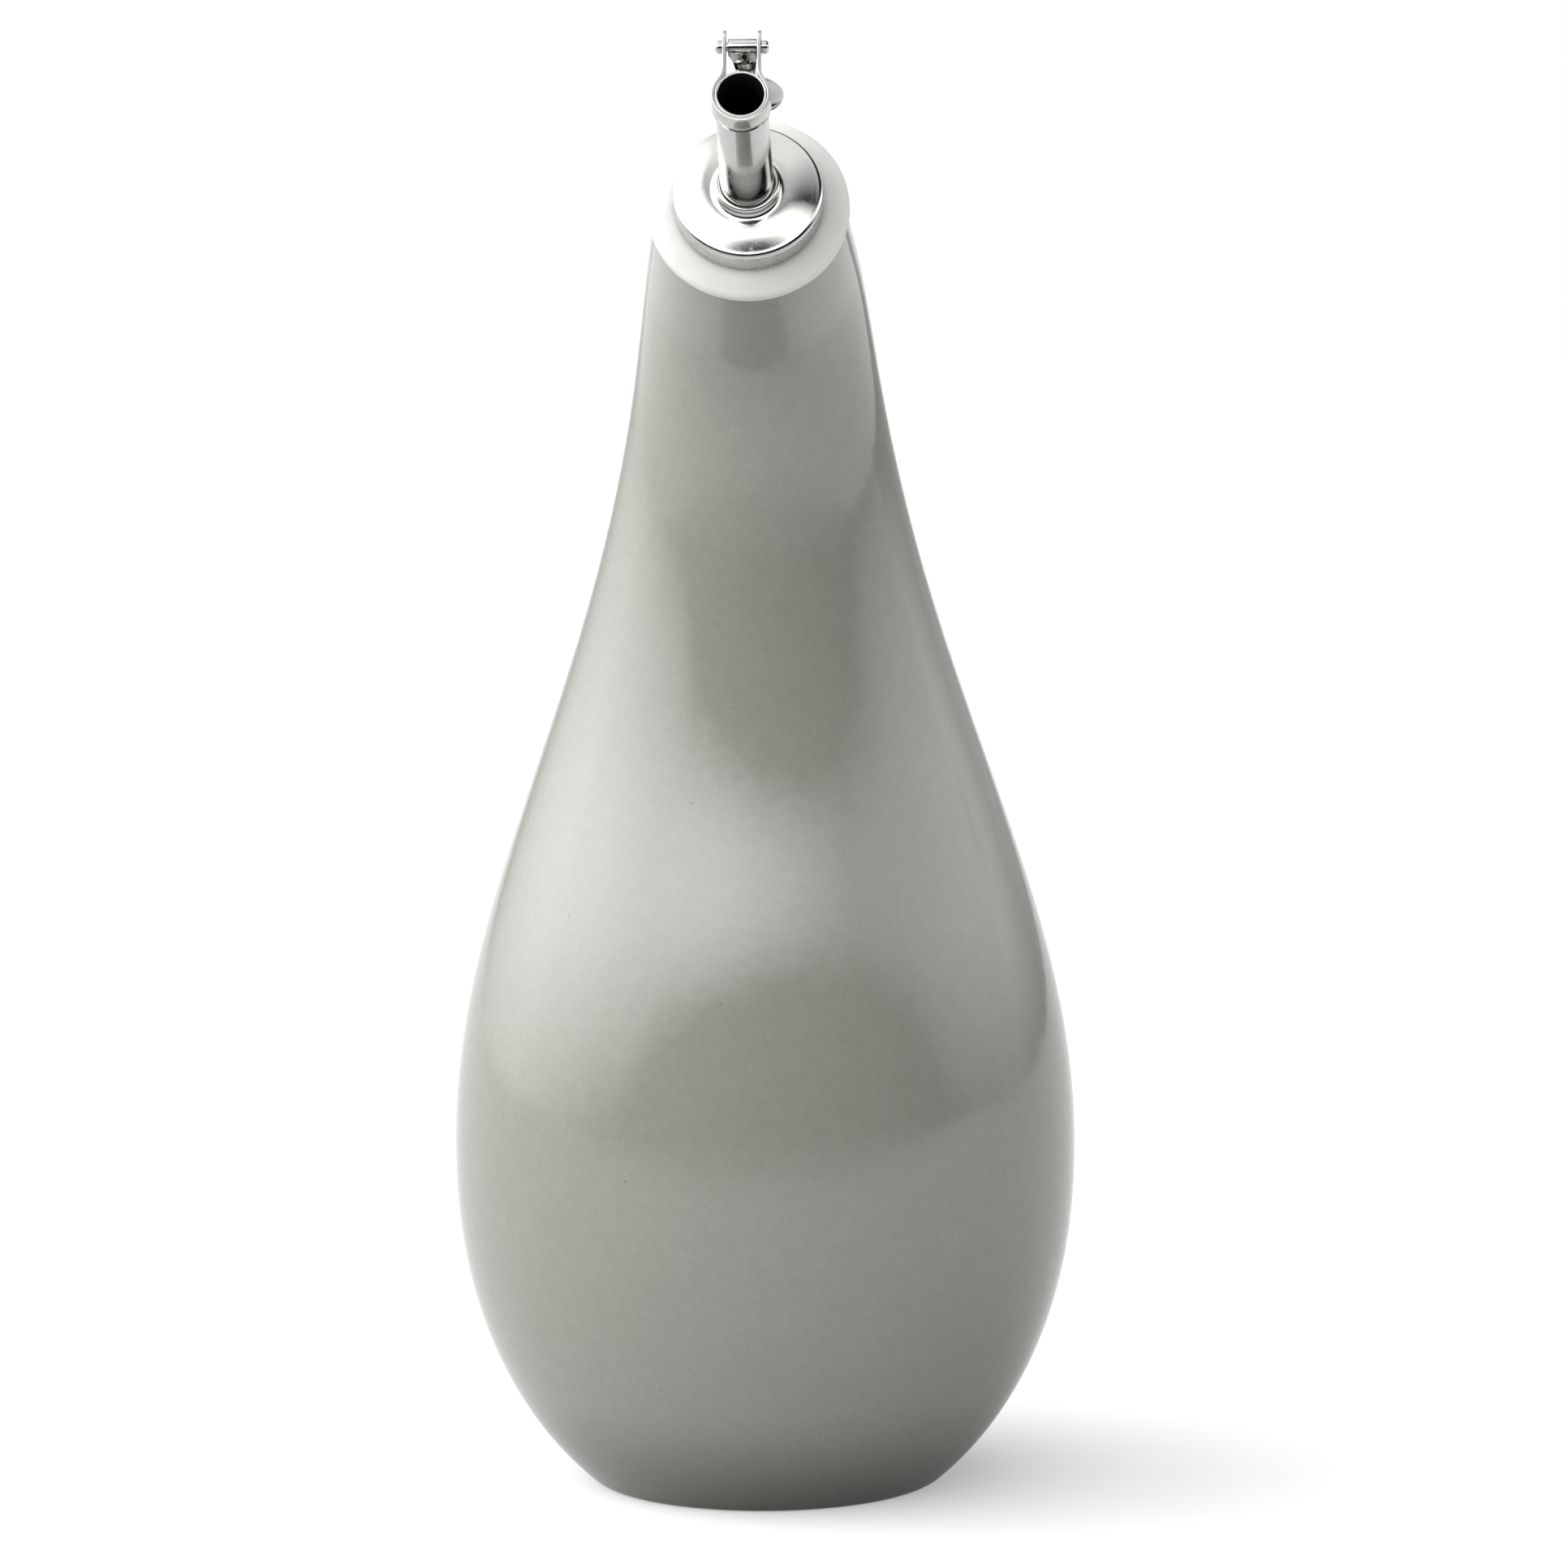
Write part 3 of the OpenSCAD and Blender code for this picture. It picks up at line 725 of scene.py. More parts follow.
def silicone_material(name, colours):
    material, tree, shader, place = new_material(name)
    cloud, tone = clouded(tree, place, dimmed(colours.silicone, 0.95), colours.silicone,
                          Broad=200.0, Fine=2400.0, Fine_Share=0.5)
    tree.links.new(tone, shader.inputs["Base Color"])
    tree.links.new(spread(tree, cloud["Cloud"], 0.38, 0.5), shader.inputs["Roughness"])
    add_bump(tree, shader, cloud["Grain"], 0.01 * MM, strength=0.6)
    shader.inputs["Subsurface Weight"].default_value = 0.8
    shader.inputs["Subsurface Radius"].default_value = (1.0, 1.0, 0.95)
    shader.inputs["Subsurface Scale"].default_value = 6 * MM
    shader.inputs["IOR"].default_value = 1.41
    return material


# What a scratch adds to the steel's roughness and takes from its height
SCRATCH_ROUGHNESS = 0.12
SCRATCH_DEPTH = 0.08


def steel_material(name, colours, rough_low, rough_high, grain):
    material, tree, shader, place = new_material(name)
    cloud, tone = clouded(tree, place, dimmed(colours.steel, 0.93), colours.steel,
                          Broad=320.0, Fine=2200.0, Fine_Share=0.4)
    lines = use_group(tree, "Scratches", Place=place, Scale=420.0, Width=0.012)
    tree.links.new(tone, shader.inputs["Base Color"])
    rough = maths(tree, "ADD", spread(tree, cloud["Cloud"], rough_low, rough_high),
                  maths(tree, "MULTIPLY", lines["Mask"], SCRATCH_ROUGHNESS))
    tree.links.new(rough, shader.inputs["Roughness"])
    height = maths(tree, "SUBTRACT", maths(tree, "MULTIPLY", cloud["Grain"], grain),
                   maths(tree, "MULTIPLY", lines["Mask"], SCRATCH_DEPTH))
    add_bump(tree, shader, height, 0.01 * MM, strength=0.6)
    shader.inputs["Metallic"].default_value = 1.0
    return material


def polished_material(name, colours):
    return steel_material(name, colours, rough_low=0.08, rough_high=0.14, grain=0.15)


def satin_material(name, colours):
    return steel_material(name, colours, rough_low=0.22, rough_high=0.34, grain=1.0)


# Painted shade: a near black, dull finish for the insides of the steel tubes, standing in for the
# shade inside them
def tube_shade_material(name, colours):
    material, tree, shader, place = new_material(name)
    _, tone = clouded(tree, place, colours.hollow, dimmed(colours.hollow, 2.5),
                      Broad=300.0, Fine=1500.0, Fine_Share=0.3)
    tree.links.new(tone, shader.inputs["Base Color"])
    shader.inputs["Roughness"].default_value = 0.6
    shader.inputs["Specular IOR Level"].default_value = 0.1
    return material


FINISHES = {
    "stoneware_glaze": glaze_material,
    "bare_clay": clay_material,
    "moulded_silicone": silicone_material,
    "polished_steel": polished_material,
    "satin_steel": satin_material,
    "spout_painted_shade": tube_shade_material,
}


def finish_named(name):
    colours = bpy.context.scene.bottle_colours
    return from_shelf(bpy.data.materials, name, FINISHES[name], colours)


# ---------- the glazed bottle ----------


# Spacing of the rings: outside near the foot, outside above that, inside, and next to the lip
FOOT_STEP, SKIN_STEP, INSIDE_STEP, LIP_STEP = 0.9 * MM, 1.9 * MM, 2.6 * MM, 1.2 * MM
FOOT_ZONE = 12 * MM
# Radius of the first and last ring, which are closed to a point
POLE_R = 0.4 * MM
# Curve of the recess, in shares of its depth: height, and distance in from the foot ring
RECESS_CURVE = ((1.0, 1.6), (0.93, 1.1), (0.6, 0.5), (0.15, 0.12), (0.0, -0.2))


def bottle_rings(form):
    """Rings from the middle of the recess, up the outside, over the lip and down the inside."""
    body = form.body
    depth = body.recess_depth
    recess_r = form.foot_r - body.foot_ring_w
    rings = [(0, depth, 0, POLE_R), (0, depth, 0, recess_r / 2)]
    rings += [(0, depth * up, 0, recess_r - depth * inward) for up, inward in RECESS_CURVE]
    rings.append((0, 0, 0, form.foot_r - body.foot_edge))
    edge = body.foot_edge
    for sine, cosine in quarter(4)[1:]:
        s = edge * (1 - cosine)
        rings.append((0, s, 0, form.outer_r(s) - edge * (1 - sine)))
    s = edge
    low = form.mouth_at - body.lip_round
    while s < low - LIP_STEP:
        s += SKIN_STEP if s > FOOT_ZONE else FOOT_STEP
        rings.append(form.ring(s, form.outer_r(s)))
    lip_r = form.outer_r(low) - body.lip_round
    for sine, cosine in quarter(8):
        rings.append(form.ring(low + body.lip_round * sine, lip_r + body.lip_round * cosine))
    for sine, cosine in quarter(6):
        s = form.mouth_at - body.bore_round * (1 - cosine)
        rings.append(form.ring(s, form.bore_r + body.bore_round * (1 - sine)))
    floor_z = depth + body.floor_t
    corner = floor_z + body.wall
    s = form.mouth_at - body.bore_round
    while s > corner + INSIDE_STEP:
        s -= INSIDE_STEP
        rings.append(form.ring(s, form.inner_r(s)))
    corner_r = form.inner_r(corner)
    for sine, cosine in quarter(5):
        rings.append((0, corner - body.wall * sine, 0, corner_r - body.wall * (1 - cosine)))
    return rings + [(0, floor_z, 0, corner_r * 0.45), (0, floor_z, 0, POLE_R)]


def sweep_rings(name, rings, sides):
    """Extrudes, turns and scales a ring through its stations, and closes both ends to a point."""
    clear_selection()
    y, z, tilt, radius = rings[0]
    bpy.ops.mesh.primitive_circle_add(vertices=sides, radius=radius)
    piece = bpy.context.object
    piece.name = piece.data.name = name
    bpy.ops.object.mode_set(mode="EDIT")
    bpy.ops.mesh.select_mode(type="VERT")
    bpy.ops.mesh.select_all(action="SELECT")
    bpy.ops.transform.translate(value=(0, y, z))
    for before, after in zip(rings, rings[1:]):
        centre = (0, after[0], after[1])
        step = (0, after[0] - before[0], after[1] - before[1])
        bpy.ops.mesh.extrude_region_move(TRANSFORM_OT_translate={"value": step})
        if abs(after[2] - before[2]) > NO_CHANGE:
            bpy.ops.transform.rotate(
                value=before[2] - after[2], orient_axis="X", center_override=centre
            )
        growth = after[3] / before[3]
        if abs(growth - 1) > NO_CHANGE:
            bpy.ops.transform.resize(value=(growth,) * 3, center_override=centre)
    bpy.ops.mesh.merge(type="CENTER")
    first = Vector((0, y, z))
    select_by(piece, lambda point: (point - first).length < 1.05 * radius, "VERT")
    bpy.ops.mesh.merge(type="CENTER")
    close_skin()
    bpy.ops.object.mode_set(mode="OBJECT")
    return piece


class OBJECT_OT_glazed_bottle(bpy.types.Operator):
    """Model the glazed bottle with its leaning neck, rounded lip and bare foot ring"""

    bl_idname = "object.glazed_bottle"
    bl_label = "Glazed Bottle"

    def execute(self, context):
        form = BodyForm(context.scene.bottle_body)
        piece = sweep_rings("glazed_bottle", bottle_rings(form), sides=128)
        set_down(piece, Matrix.Identity(4), smooth_angle=60)
        finish_piece(piece, "bottle", "bottle", "glaze", "stoneware_glaze", "bare_clay")
        bare_from = form.foot_r - form.body.foot_ring_w - 0.3 * MM
        bare_to = 0.25 * MM
        paint_faces(piece, 1, lambda p: p.z < bare_to and math.hypot(p.x, p.y) > bare_from)
        return {"FINISHED"}


# ---------- the stopper ----------


class OBJECT_OT_moulded_stopper(bpy.types.Operator):
    """Model the silicone stopper: a crowned flange on the mouth and a finned plug in the bore"""

    bl_idname = "object.moulded_stopper"
    bl_label = "Moulded Stopper"

    # Roundings of the plug's foot and of the flange's under and upper edge, which turns so far
    FOOT_ROUND, UNDER_ROUND, TOP_ROUND, TOP_TURN = 2.5 * MM, 0.8 * MM, 1.1 * MM, 62
    # Height of the first fin over the plug's foot, and bevels of the fins and of the boss
    FIRST_FIN, FIN_BEVEL, BOSS_BEVEL = 4 * MM, 0.3 * MM, 0.6 * MM
    CROWN_STEPS = 10

    def profile(self, scene, form, stack):
        size, pourer = scene.bottle_stopper, scene.bottle_pourer
        core_r, fin_r = size.core_d / 2, form.bore_r - size.fin_gap
        flange_r, cover_r = size.flange_d / 2, pourer.cover_d / 2
        hole_r = pourer.spout_base_d / 2 + stack.FIT
        end, foot, bevel = stack.plug_end, self.FOOT_ROUND, self.FIN_BEVEL
        low, high = self.UNDER_ROUND, self.TOP_ROUND
        pitch = (size.plug_len - self.FIRST_FIN - size.fin_root) / size.fin_count
        points = [(hole_r, end)] + bow(core_r - foot, end + foot, foot, -90, 0, 6)
        for k in range(size.fin_count):
            z = end + self.FIRST_FIN + k * pitch
            top = z + size.fin_root
            rim = top - size.fin_rim
            points += [
                (core_r, z), (fin_r - bevel, rim), (fin_r, rim + bevel),
                (fin_r, top - bevel), (fin_r - bevel, top), (core_r, top),
            ]
        points += [(core_r, 0)] + bow(flange_r - low, low, low, -90, 0, 6)
        points += bow(flange_r - high, size.flange_edge - 0.5 * MM, high, 0, self.TOP_TURN, 6)
        x0, z0 = points[-1]
        for i in range(1, self.CROWN_STEPS + 1):
            t = i / self.CROWN_STEPS
            rise = (size.flange_crown - z0) * math.sin(math.pi / 2 * t)
            points.append((x0 + (cover_r - x0) * t, z0 + rise))
        bevel = self.BOSS_BEVEL
        boss_r = cover_r - pourer.sheet - stack.FIT
        boss_z = stack.cover_top - pourer.cover_round - pourer.sheet
        return points + [(boss_r, size.flange_crown), (boss_r, boss_z - bevel),
                         (boss_r - bevel, boss_z), (hole_r, boss_z), (hole_r, end)]

    def execute(self, context):
        scene = context.scene
        form, stack, pourer = BodyForm(scene.bottle_body), Stack(scene), scene.bottle_pourer
        piece = turn("moulded_stopper", self.profile(scene, form, stack), sides=128)
        vent_r = pourer.vent_d / 2 + stack.FIT
        pierce(piece, 0, pourer.vent_offset, stack.plug_end - MM, stack.cover_top, vent_r)
        set_down(piece, form.neck_matrix(), smooth_angle=32)
        finish_piece(piece, "stopper", "pourer", "silicone", "moulded_silicone")
        return {"FINISHED"}


# ---------- the cover, spout and breather ----------


class OBJECT_OT_drawn_cover(bpy.types.Operator):
    """Model the drawn steel cover with its rounded rim, dished top and rolled collar"""

    bl_idname = "object.drawn_cover"
    bl_label = "Drawn Cover"

    # Steepness of the cover's top at its rim, over its mean steepness
    FULLNESS = 1.4
    # The rim's rounding turns so far into the top, which meets the collar in a hollow this big
    RIM_TURN, HOLLOW = 80, 0.7 * MM
    # Roundings of the collar's lip, outside and inside
    LIP_ROUND, BORE_ROUND = 0.55 * MM, 0.25 * MM
    TOP_STEPS = 14

    def rise(self, t):
        """Share of the top's height at a share of the way in."""
        return self.FULLNESS * t - (self.FULLNESS - 1) * t**3.5

    def outside(self, size, stack):
        cover_r, collar_r, hollow = size.cover_d / 2, size.collar_d / 2, self.HOLLOW
        top, foot, low = stack.cover_top, stack.collar_foot, stack.cover_edge
        points = [(cover_r - 0.1 * MM, low), (cover_r, low + 0.1 * MM)]
        points += bow(cover_r - size.cover_round, top - size.cover_round, size.cover_round,
                      0, self.RIM_TURN, 10)
        x0, z0 = points[-1]
        for i in range(1, self.TOP_STEPS + 1):
            t = i / self.TOP_STEPS
            rise = (foot - 0.3 * hollow - z0) * self.rise(t)
            points.append((x0 + (collar_r + hollow - x0) * t, z0 + rise))
        for out, up in ((0.45, -0.08), (0.15, 0.2), (0.0, 0.6)):
            points.append((collar_r + out * hollow, foot + up * hollow))
        return points

    def lip(self, size, stack):
        outer, inner = self.LIP_ROUND, self.BORE_ROUND
        bore = size.spout_base_d / 2 + 0.05 * MM
        points = bow(size.collar_d / 2 - outer, stack.collar_top - outer, outer, 0, 90, 8)
        points += bow(bore + inner, stack.collar_top - inner, inner, 90, 180, 5)
        return points + [(bore, stack.collar_foot - 0.4 * MM)]

    def inside(self, size, stack):
        cover_r, collar_r, top = size.cover_d / 2, size.collar_d / 2, stack.cover_top
        rise_x, inner_r = cover_r - size.cover_round, cover_r - size.sheet
        points = []
        for i in range(self.TOP_STEPS + 1):
            t = 1 - i / self.TOP_STEPS
            rise = (size.cover_rise - 0.1 * MM) * self.rise(t)
            points.append((rise_x - (rise_x - collar_r) * t, top - 1.1 * size.sheet + rise))
        return points + [(inner_r, top - size.cover_round - 0.4 * size.sheet),
                         (inner_r, stack.cover_edge)]

    def execute(self, context):
        scene = context.scene
        form, stack, size = BodyForm(scene.bottle_body), Stack(scene), scene.bottle_pourer
        inside = self.inside(size, stack)
        points = [inside[-1]] + self.outside(size, stack) + self.lip(size, stack) + inside
        piece = turn("drawn_cover", points, sides=128)
        vent_r = size.vent_d / 2 + stack.FIT
        low, high = stack.cover_top - 3 * MM, stack.collar_foot + MM
        pierce(piece, 0, size.vent_offset, low, high, vent_r)
        set_down(piece, form.neck_matrix(), smooth_angle=38)
        finish_piece(piece, "cover", "pourer", "steel", "polished_steel", "satin_steel")
        inverse = form.neck_matrix().inverted()
        skirt_top = stack.cover_top - 1.1 * size.cover_round
        paint_faces(piece, 1, lambda p: (inverse @ p).z < skirt_top)
        return {"FINISHED"}


class OBJECT_OT_pouring_tubes(bpy.types.Operator):
    """Model the tapered spout and the breather tube"""

    bl_idname = "object.pouring_tubes"
    bl_label = "Pouring Tubes"

    # Rounding of the spout's end, bevel of the breather's, and how deep the painted shade inside
    # starts
    SPOUT_EDGE, VENT_EDGE, DARK_FROM = 0.16 * MM, 0.1 * MM, 0.3 * MM

    def spout(self, size, stack, place):
        base, tip, wall = size.spout_base_d / 2, size.spout_tip_d / 2, size.spout_wall
        start, end, edge = stack.plug_end - size.spout_below, stack.spout_end, self.SPOUT_EDGE
        taper = ((base, stack.collar_top), (tip, stack.taper_end))
        points = [(base - wall, start), (base, start), *taper]
        points += bow(tip - edge, end - edge, edge, 0, 90, 4)
        points += bow(tip - wall + edge, end - edge, edge, 90, 180, 4)
        points += [(r - wall, z) for r, z in reversed(taper)]
        points += [(base - wall, start)]
        spout = turn("pouring_spout", points, sides=96)
        set_down(spout, place, smooth_angle=40)
        finish_piece(spout, "spout", "pourer", "steel", "polished_steel", "spout_painted_shade")
        inverse = place.inverted()
        inner = tip - 0.6 * wall

        def inside(p):
            q = inverse @ p
            widened = (base - tip) * (q.z < stack.taper_end)
            return math.hypot(q.x, q.y) < inner + widened and q.z < end - self.DARK_FROM

        # The inside of the spout gets the painted shade
        paint_faces(spout, 1, inside)

    def breather(self, size, stack, place):
        out_r, edge = size.vent_d / 2, self.VENT_EDGE
        in_r = out_r - size.vent_wall
        low, high = stack.plug_end - size.vent_below, stack.collar_foot + size.vent_above
        points = [(in_r, low), (out_r, low), (out_r, high - edge), (out_r - edge, high),
                  (in_r + edge, high), (in_r, high - edge), (in_r, low)]
        vent = turn("breather_tube", points, sides=40)
        stand = place @ Matrix.Translation((0, size.vent_offset, 0))
        set_down(vent, stand, smooth_angle=40)
        finish_piece(vent, "breather", "pourer", "steel", "polished_steel", "spout_painted_shade")
        inverse = stand.inverted()
        painted_shade_r = in_r + 0.05 * MM
        # The inside of the breather gets the painted shade
        paint_faces(vent, 1, lambda p: (inverse @ p).xy.length < painted_shade_r)

    def execute(self, context):
        scene = context.scene
        stack, size = Stack(scene), scene.bottle_pourer
        place = BodyForm(scene.bottle_body).neck_matrix()
        self.spout(size, stack, place)
        self.breather(size, stack, place)
        return {"FINISHED"}


# ---------- the strap, pin and lid ----------


def draw_strip(name, stations):
    """Ribbon of sheet: an edge extruded through stations of (middle, half of the edge)."""
    middle, half = stations[0]
    piece = start_point(name, Vector(middle) - Vector(half))
    bpy.ops.mesh.extrude_region_move(TRANSFORM_OT_translate={"value": 2 * Vector(half)})
    bpy.ops.mesh.select_mode(type="EDGE")
    bpy.ops.mesh.select_all(action="SELECT")
    for (before, half_before), (after, half_after) in zip(stations, stations[1:]):
        step = Vector(after) - Vector(before)
        bpy.ops.mesh.extrude_region_move(TRANSFORM_OT_translate={"value": step})
        growth = Vector(half_after).length / Vector(half_before).length
        if abs(growth - 1) > NO_CHANGE:
            bpy.ops.transform.resize(value=(growth,) * 3, center_override=after)
    bpy.ops.mesh.select_mode(type="VERT")
    close_skin()
    bpy.ops.object.mode_set(mode="OBJECT")
    return piece


class OBJECT_OT_hinge_strap(bpy.types.Operator):
    """Model the strap round the spout's end with its two ears"""

    bl_idname = "object.hinge_strap"
    bl_label = "Hinge Strap"

    # Steps of an ear's round end, which starts this many degrees in, of a sweep and of the band
    END_STEPS, END_START, SWEEP_STEPS, BAND_STEPS = 8, 6, 8, 56

    def execute(self, context):
        scene = context.scene
        form, stack, size = BodyForm(scene.bottle_body), Stack(scene), scene.bottle_lid
        half = size.strap_w / 2
        round_y = size.pin_h + size.ear_top - half
        ear = []
        for i in range(self.END_STEPS + 1):
            a = math.radians(self.END_START + (90 - self.END_START) * i / self.END_STEPS)
            ear.append((size.ear_x, round_y + half * math.cos(a), half * math.sin(a)))
        ear.append((size.ear_x, (round_y + stack.sweep_y) / 2, half))
        for i in range(self.SWEEP_STEPS + 1):
            a = math.pi + stack.sweep_angle * i / self.SWEEP_STEPS
            ear.append((size.ear_x + size.ear_sweep * (1 + math.cos(a)),
                        stack.sweep_y + size.ear_sweep * math.sin(a), half))
        start, end = stack.sweep_angle, -math.pi - stack.sweep_angle
        band = []
        for i in range(1, self.BAND_STEPS):
            a = start + (end - start) * i / self.BAND_STEPS
            band.append((stack.strap_r * math.cos(a), stack.strap_r * math.sin(a), half))
        other_ear = [(-x, y, h) for x, y, h in reversed(ear)]
        stations = [((x, y, stack.pin_z), (0, 0, h)) for x, y, h in ear + band + other_ear]
        piece = draw_strip("hinge_strap_band", stations)
        thicken(piece, size.strap_t)
        soften(piece, 0.07 * MM)
        set_down(piece, form.neck_matrix(), smooth_angle=50)
        finish_piece(piece, "hinge_strap", "pourer", "steel", "polished_steel")
        return {"FINISHED"}


class OBJECT_OT_hinge_pin(bpy.types.Operator):
    """Model the hinge pin with its two domed heads"""

    bl_idname = "object.hinge_pin"
    bl_label = "Hinge Pin"

    # Bevel under the pin's heads and rounding of their crowns
    BEVEL, CROWN = 0.12 * MM, 0.55 * MM

    def execute(self, context):
        scene = context.scene
        stack, size = Stack(scene), scene.bottle_lid
        out, head_r = size.ear_x + size.strap_t / 2, size.head_d / 2
        crown = self.CROWN
        right = [(size.pin_d / 2, out), (head_r - self.BEVEL, out), (head_r, out + self.BEVEL)]
        right += bow(head_r - crown, out + size.head_t - crown, crown, 0, 90, 8)
        right += [(0, out + size.head_t)]
        left = [(r, -x) for r, x in reversed(right)]
        piece = turn("domed_hinge_pin", left + right, sides=40, axis="X")
        set_down(piece, stack.pin_matrix(scene), smooth_angle=40)
        finish_piece(piece, "hinge_pin", "pourer", "steel", "polished_steel")
        return {"FINISHED"}


class OBJECT_OT_flip_lid(bpy.types.Operator):
    """Model the domed flip lid with its arm and rolled knuckle"""

    bl_idname = "object.flip_lid"
    bl_label = "Flip Lid"

    # Bevel of the rim, and steps of the domed disc from its middle to its rim
    EDGE, DOME_STEPS = 0.12 * MM, 12
    # How far the arm laps under the disc, and the rolled knuckle's turn in degrees
    LAP, ROLL_FROM, ROLL_BACK = 0.8 * MM, 395, 305
    ROLL_STEPS, ARM_STEPS = 22, 12
    # Shares of the arm's length at which it starts to rise and to narrow, and over how much
    RISE_FROM, RISE_OVER = 0.3, 0.5
    NARROW_FROM, NARROW_OVER = 0.12, 0.72

    def dome(self, size, stack):
        lid_r, sheet, edge = size.lid_d / 2, size.lid_t, self.EDGE
        inner_r = stack.dome_r - sheet
        out_angle = math.degrees(math.asin(lid_r / stack.dome_r))
        in_angle = math.degrees(math.asin((lid_r - sheet) / inner_r))
        rim_top, rim_foot = stack.lid_face + size.rim_h, stack.lid_face
        points = [(0, stack.dome_z + stack.dome_r)]
        first, steps = 1 / self.DOME_STEPS, self.DOME_STEPS - 1
        points += bow(0, stack.dome_z, stack.dome_r,
                      90 - out_angle * first, 90 - out_angle * 0.985, steps)
        points += [(lid_r, rim_top - edge), (lid_r, rim_foot + edge), (lid_r - edge, rim_foot),
                   (lid_r - sheet + edge, rim_foot), (lid_r - sheet, rim_foot + edge)]
        points += bow(0, stack.dome_z, inner_r, 90 - in_angle, 90 - in_angle * first, steps)
        points += [(0, stack.dome_z + inner_r), points[0]]
        return turn("flip_lid_dome", points, sides=72)

    def arm(self, size, stack):
        sheet = size.lid_t
        roll_r = size.pin_d / 2 + size.pin_gap + sheet / 2
        reach = stack.lid_reach - size.lid_d / 2 + self.LAP
        rise = stack.lid_face + sheet / 2 - roll_r
        side = []
        for i in range(self.ROLL_STEPS + 1):
            a = math.radians(self.ROLL_FROM - self.ROLL_BACK * i / self.ROLL_STEPS)
            side.append((roll_r * math.cos(a), roll_r * math.sin(a), 0.0))
        for i in range(1, self.ARM_STEPS + 1):
            t = i / self.ARM_STEPS
            lift = rise * smooth((t - self.RISE_FROM) / self.RISE_OVER)
            side.append((reach * t, roll_r + lift, t))
        stations = []
        for d, z, t in side:
            k = min(max((t - self.NARROW_FROM) / self.NARROW_OVER, 0), 1)
            half = (size.knuckle_w + (size.arm_w - size.knuckle_w) * k) / 2
            stations.append(((size.lid_skew * k, -d, z), (half, 0, 0)))
        piece = draw_strip("flip_lid_arm", stations)
        thicken(piece, sheet)
        soften(piece, 0.08 * MM)
        return piece

    def execute(self, context):
        scene = context.scene
        stack, size = Stack(scene), scene.bottle_lid
        arm = self.arm(size, stack)
        dome = self.dome(size, stack)
        only(dome)
        dome.location = (size.lid_skew, -stack.lid_reach, 0)
        bpy.ops.object.transform_apply(location=True, rotation=True, scale=True)
        arm.select_set(True)
        bpy.ops.object.join()
        dome.name = dome.data.name = "domed_flip_lid"
        place = (
            stack.pin_matrix(scene)
            @ Matrix.Rotation(-stack.lid_open, 4, "X")
            @ Matrix.Translation((size.knuckle_play, 0, 0))
        )
        set_down(dome, place, smooth_angle=45)
        finish_piece(dome, "flip_lid", "lid", "steel", "polished_steel")
        return {"FINISHED"}


# ---------- the studio ----------


def round_the_room(tree, turn_share, stops, low, high):
    """Value by turn share, straight between stops of (azimuth in degrees, value)."""
    node = add_node(tree, "ShaderNodeFloatCurve", {"Factor": 1.0, "Value": turn_share})
    curve = node.mapping.curves[0]
    points = [((at + 180) / 360, (value - low) / (high - low)) for at, value in stops]
    curve.points[0].location = points[0]
    curve.points[1].location = points[-1]
    for at, value in points[1:-1]:
        curve.points.new(at, value)
    for point in curve.points:
        point.handle_type = "VECTOR"
    node.mapping.update()
    return ramp(tree, node.outputs["Value"], 0.0, 1.0, low, high, "LINEAR")


# One big soft light wraps the room. Azimuth 0 is the camera's side and grows to the right;
# after the level come the elevations where it starts, is full, starts to fade and ends.
WRAP = (
    (-180, 0.6, -30, -20, 45, 60),
    (-155, 1.3, -15, 20, 30, 60),
    (-130, 4.0, -15, 24, 30, 72),
    (-105, 6.6, -14, 26, 32, 72),
    (-80, 6.6, -8, 26, 34, 72),
    (-54, 5.4, 0, 28, 33, 68),
    (-40, 5.2, 11, 27, 32, 60),
    (-20, 5.0, 17, 28, 33, 56),
    (0, 4.7, 21, 30, 36, 54),
    (25, 3.9, 22, 31, 36, 50),
    (45, 2.4, 19, 31, 33, 46),
    (62, 1.9, 11, 25, 30, 38),
    (80, 2.0, -4, 18, 26, 34),
    (95, 2.3, -6, 15, 20, 28),
    (117, 2.2, -8, 12, 17, 24),
    (119, 2.0, -4, 8, 9, 17),
    (142, 1.1, -6, 8, 12, 24),
    (165, 0.7, -10, 0, 14, 30),
    (180, 0.6, -30, -20, 45, 60),
)
LEVEL_RANGE = (0.0, 8.0)
HEIGHT_RANGE = (-90.0, 90.0)
# The light overhead grows to its level between these elevations
TOP_LEVEL = 1.4
TOP_FROM, TOP_FULL = 45.0, 70.0
# The white backdrop behind the bottle: from this azimuth on either side, and these elevations
BACKDROP_EDGE = (166.0, 170.0)
BACKDROP_FOOT = (-20.5, -19.5)
BACKDROP_TOP = (10.0, 14.0)
# How much whiter the table looks to the camera and in gloss
FLOOR_LIFT = 0.35
GLOSS_LIFT = 0.06
# Painted shade: in gloss the table grows dark between these depths, on the camera's side,
# standing in for light that falls off towards the camera
FLOOR_PAINTED_SHADE = (-0.8, -0.22)
PAINTED_SHADE_LEVEL = 0.3


def wrapped_light(tree, azimuth, elevation):
    """Level of the soft light in a direction, in degrees."""
    turn_share = maths(tree, "DIVIDE", maths(tree, "ADD", azimuth, 180.0), 360.0)
    level, start, full, fade, end = (
        round_the_room(tree, turn_share, [(row[0], row[column]) for row in WRAP], *span)
        for column, span in enumerate((LEVEL_RANGE,) + (HEIGHT_RANGE,) * 4, 1)
    )
    lit = maths(
        tree, "MULTIPLY",
        ramp(tree, elevation, start, full, easing="LINEAR"),
        ramp(tree, elevation, fade, end, 1.0, 0.0, "LINEAR"),
    )
    top = ramp(tree, elevation, TOP_FROM, TOP_FULL, 0.0, TOP_LEVEL, "LINEAR")
    return maths(tree, "ADD", maths(tree, "MULTIPLY", level, lit), top)


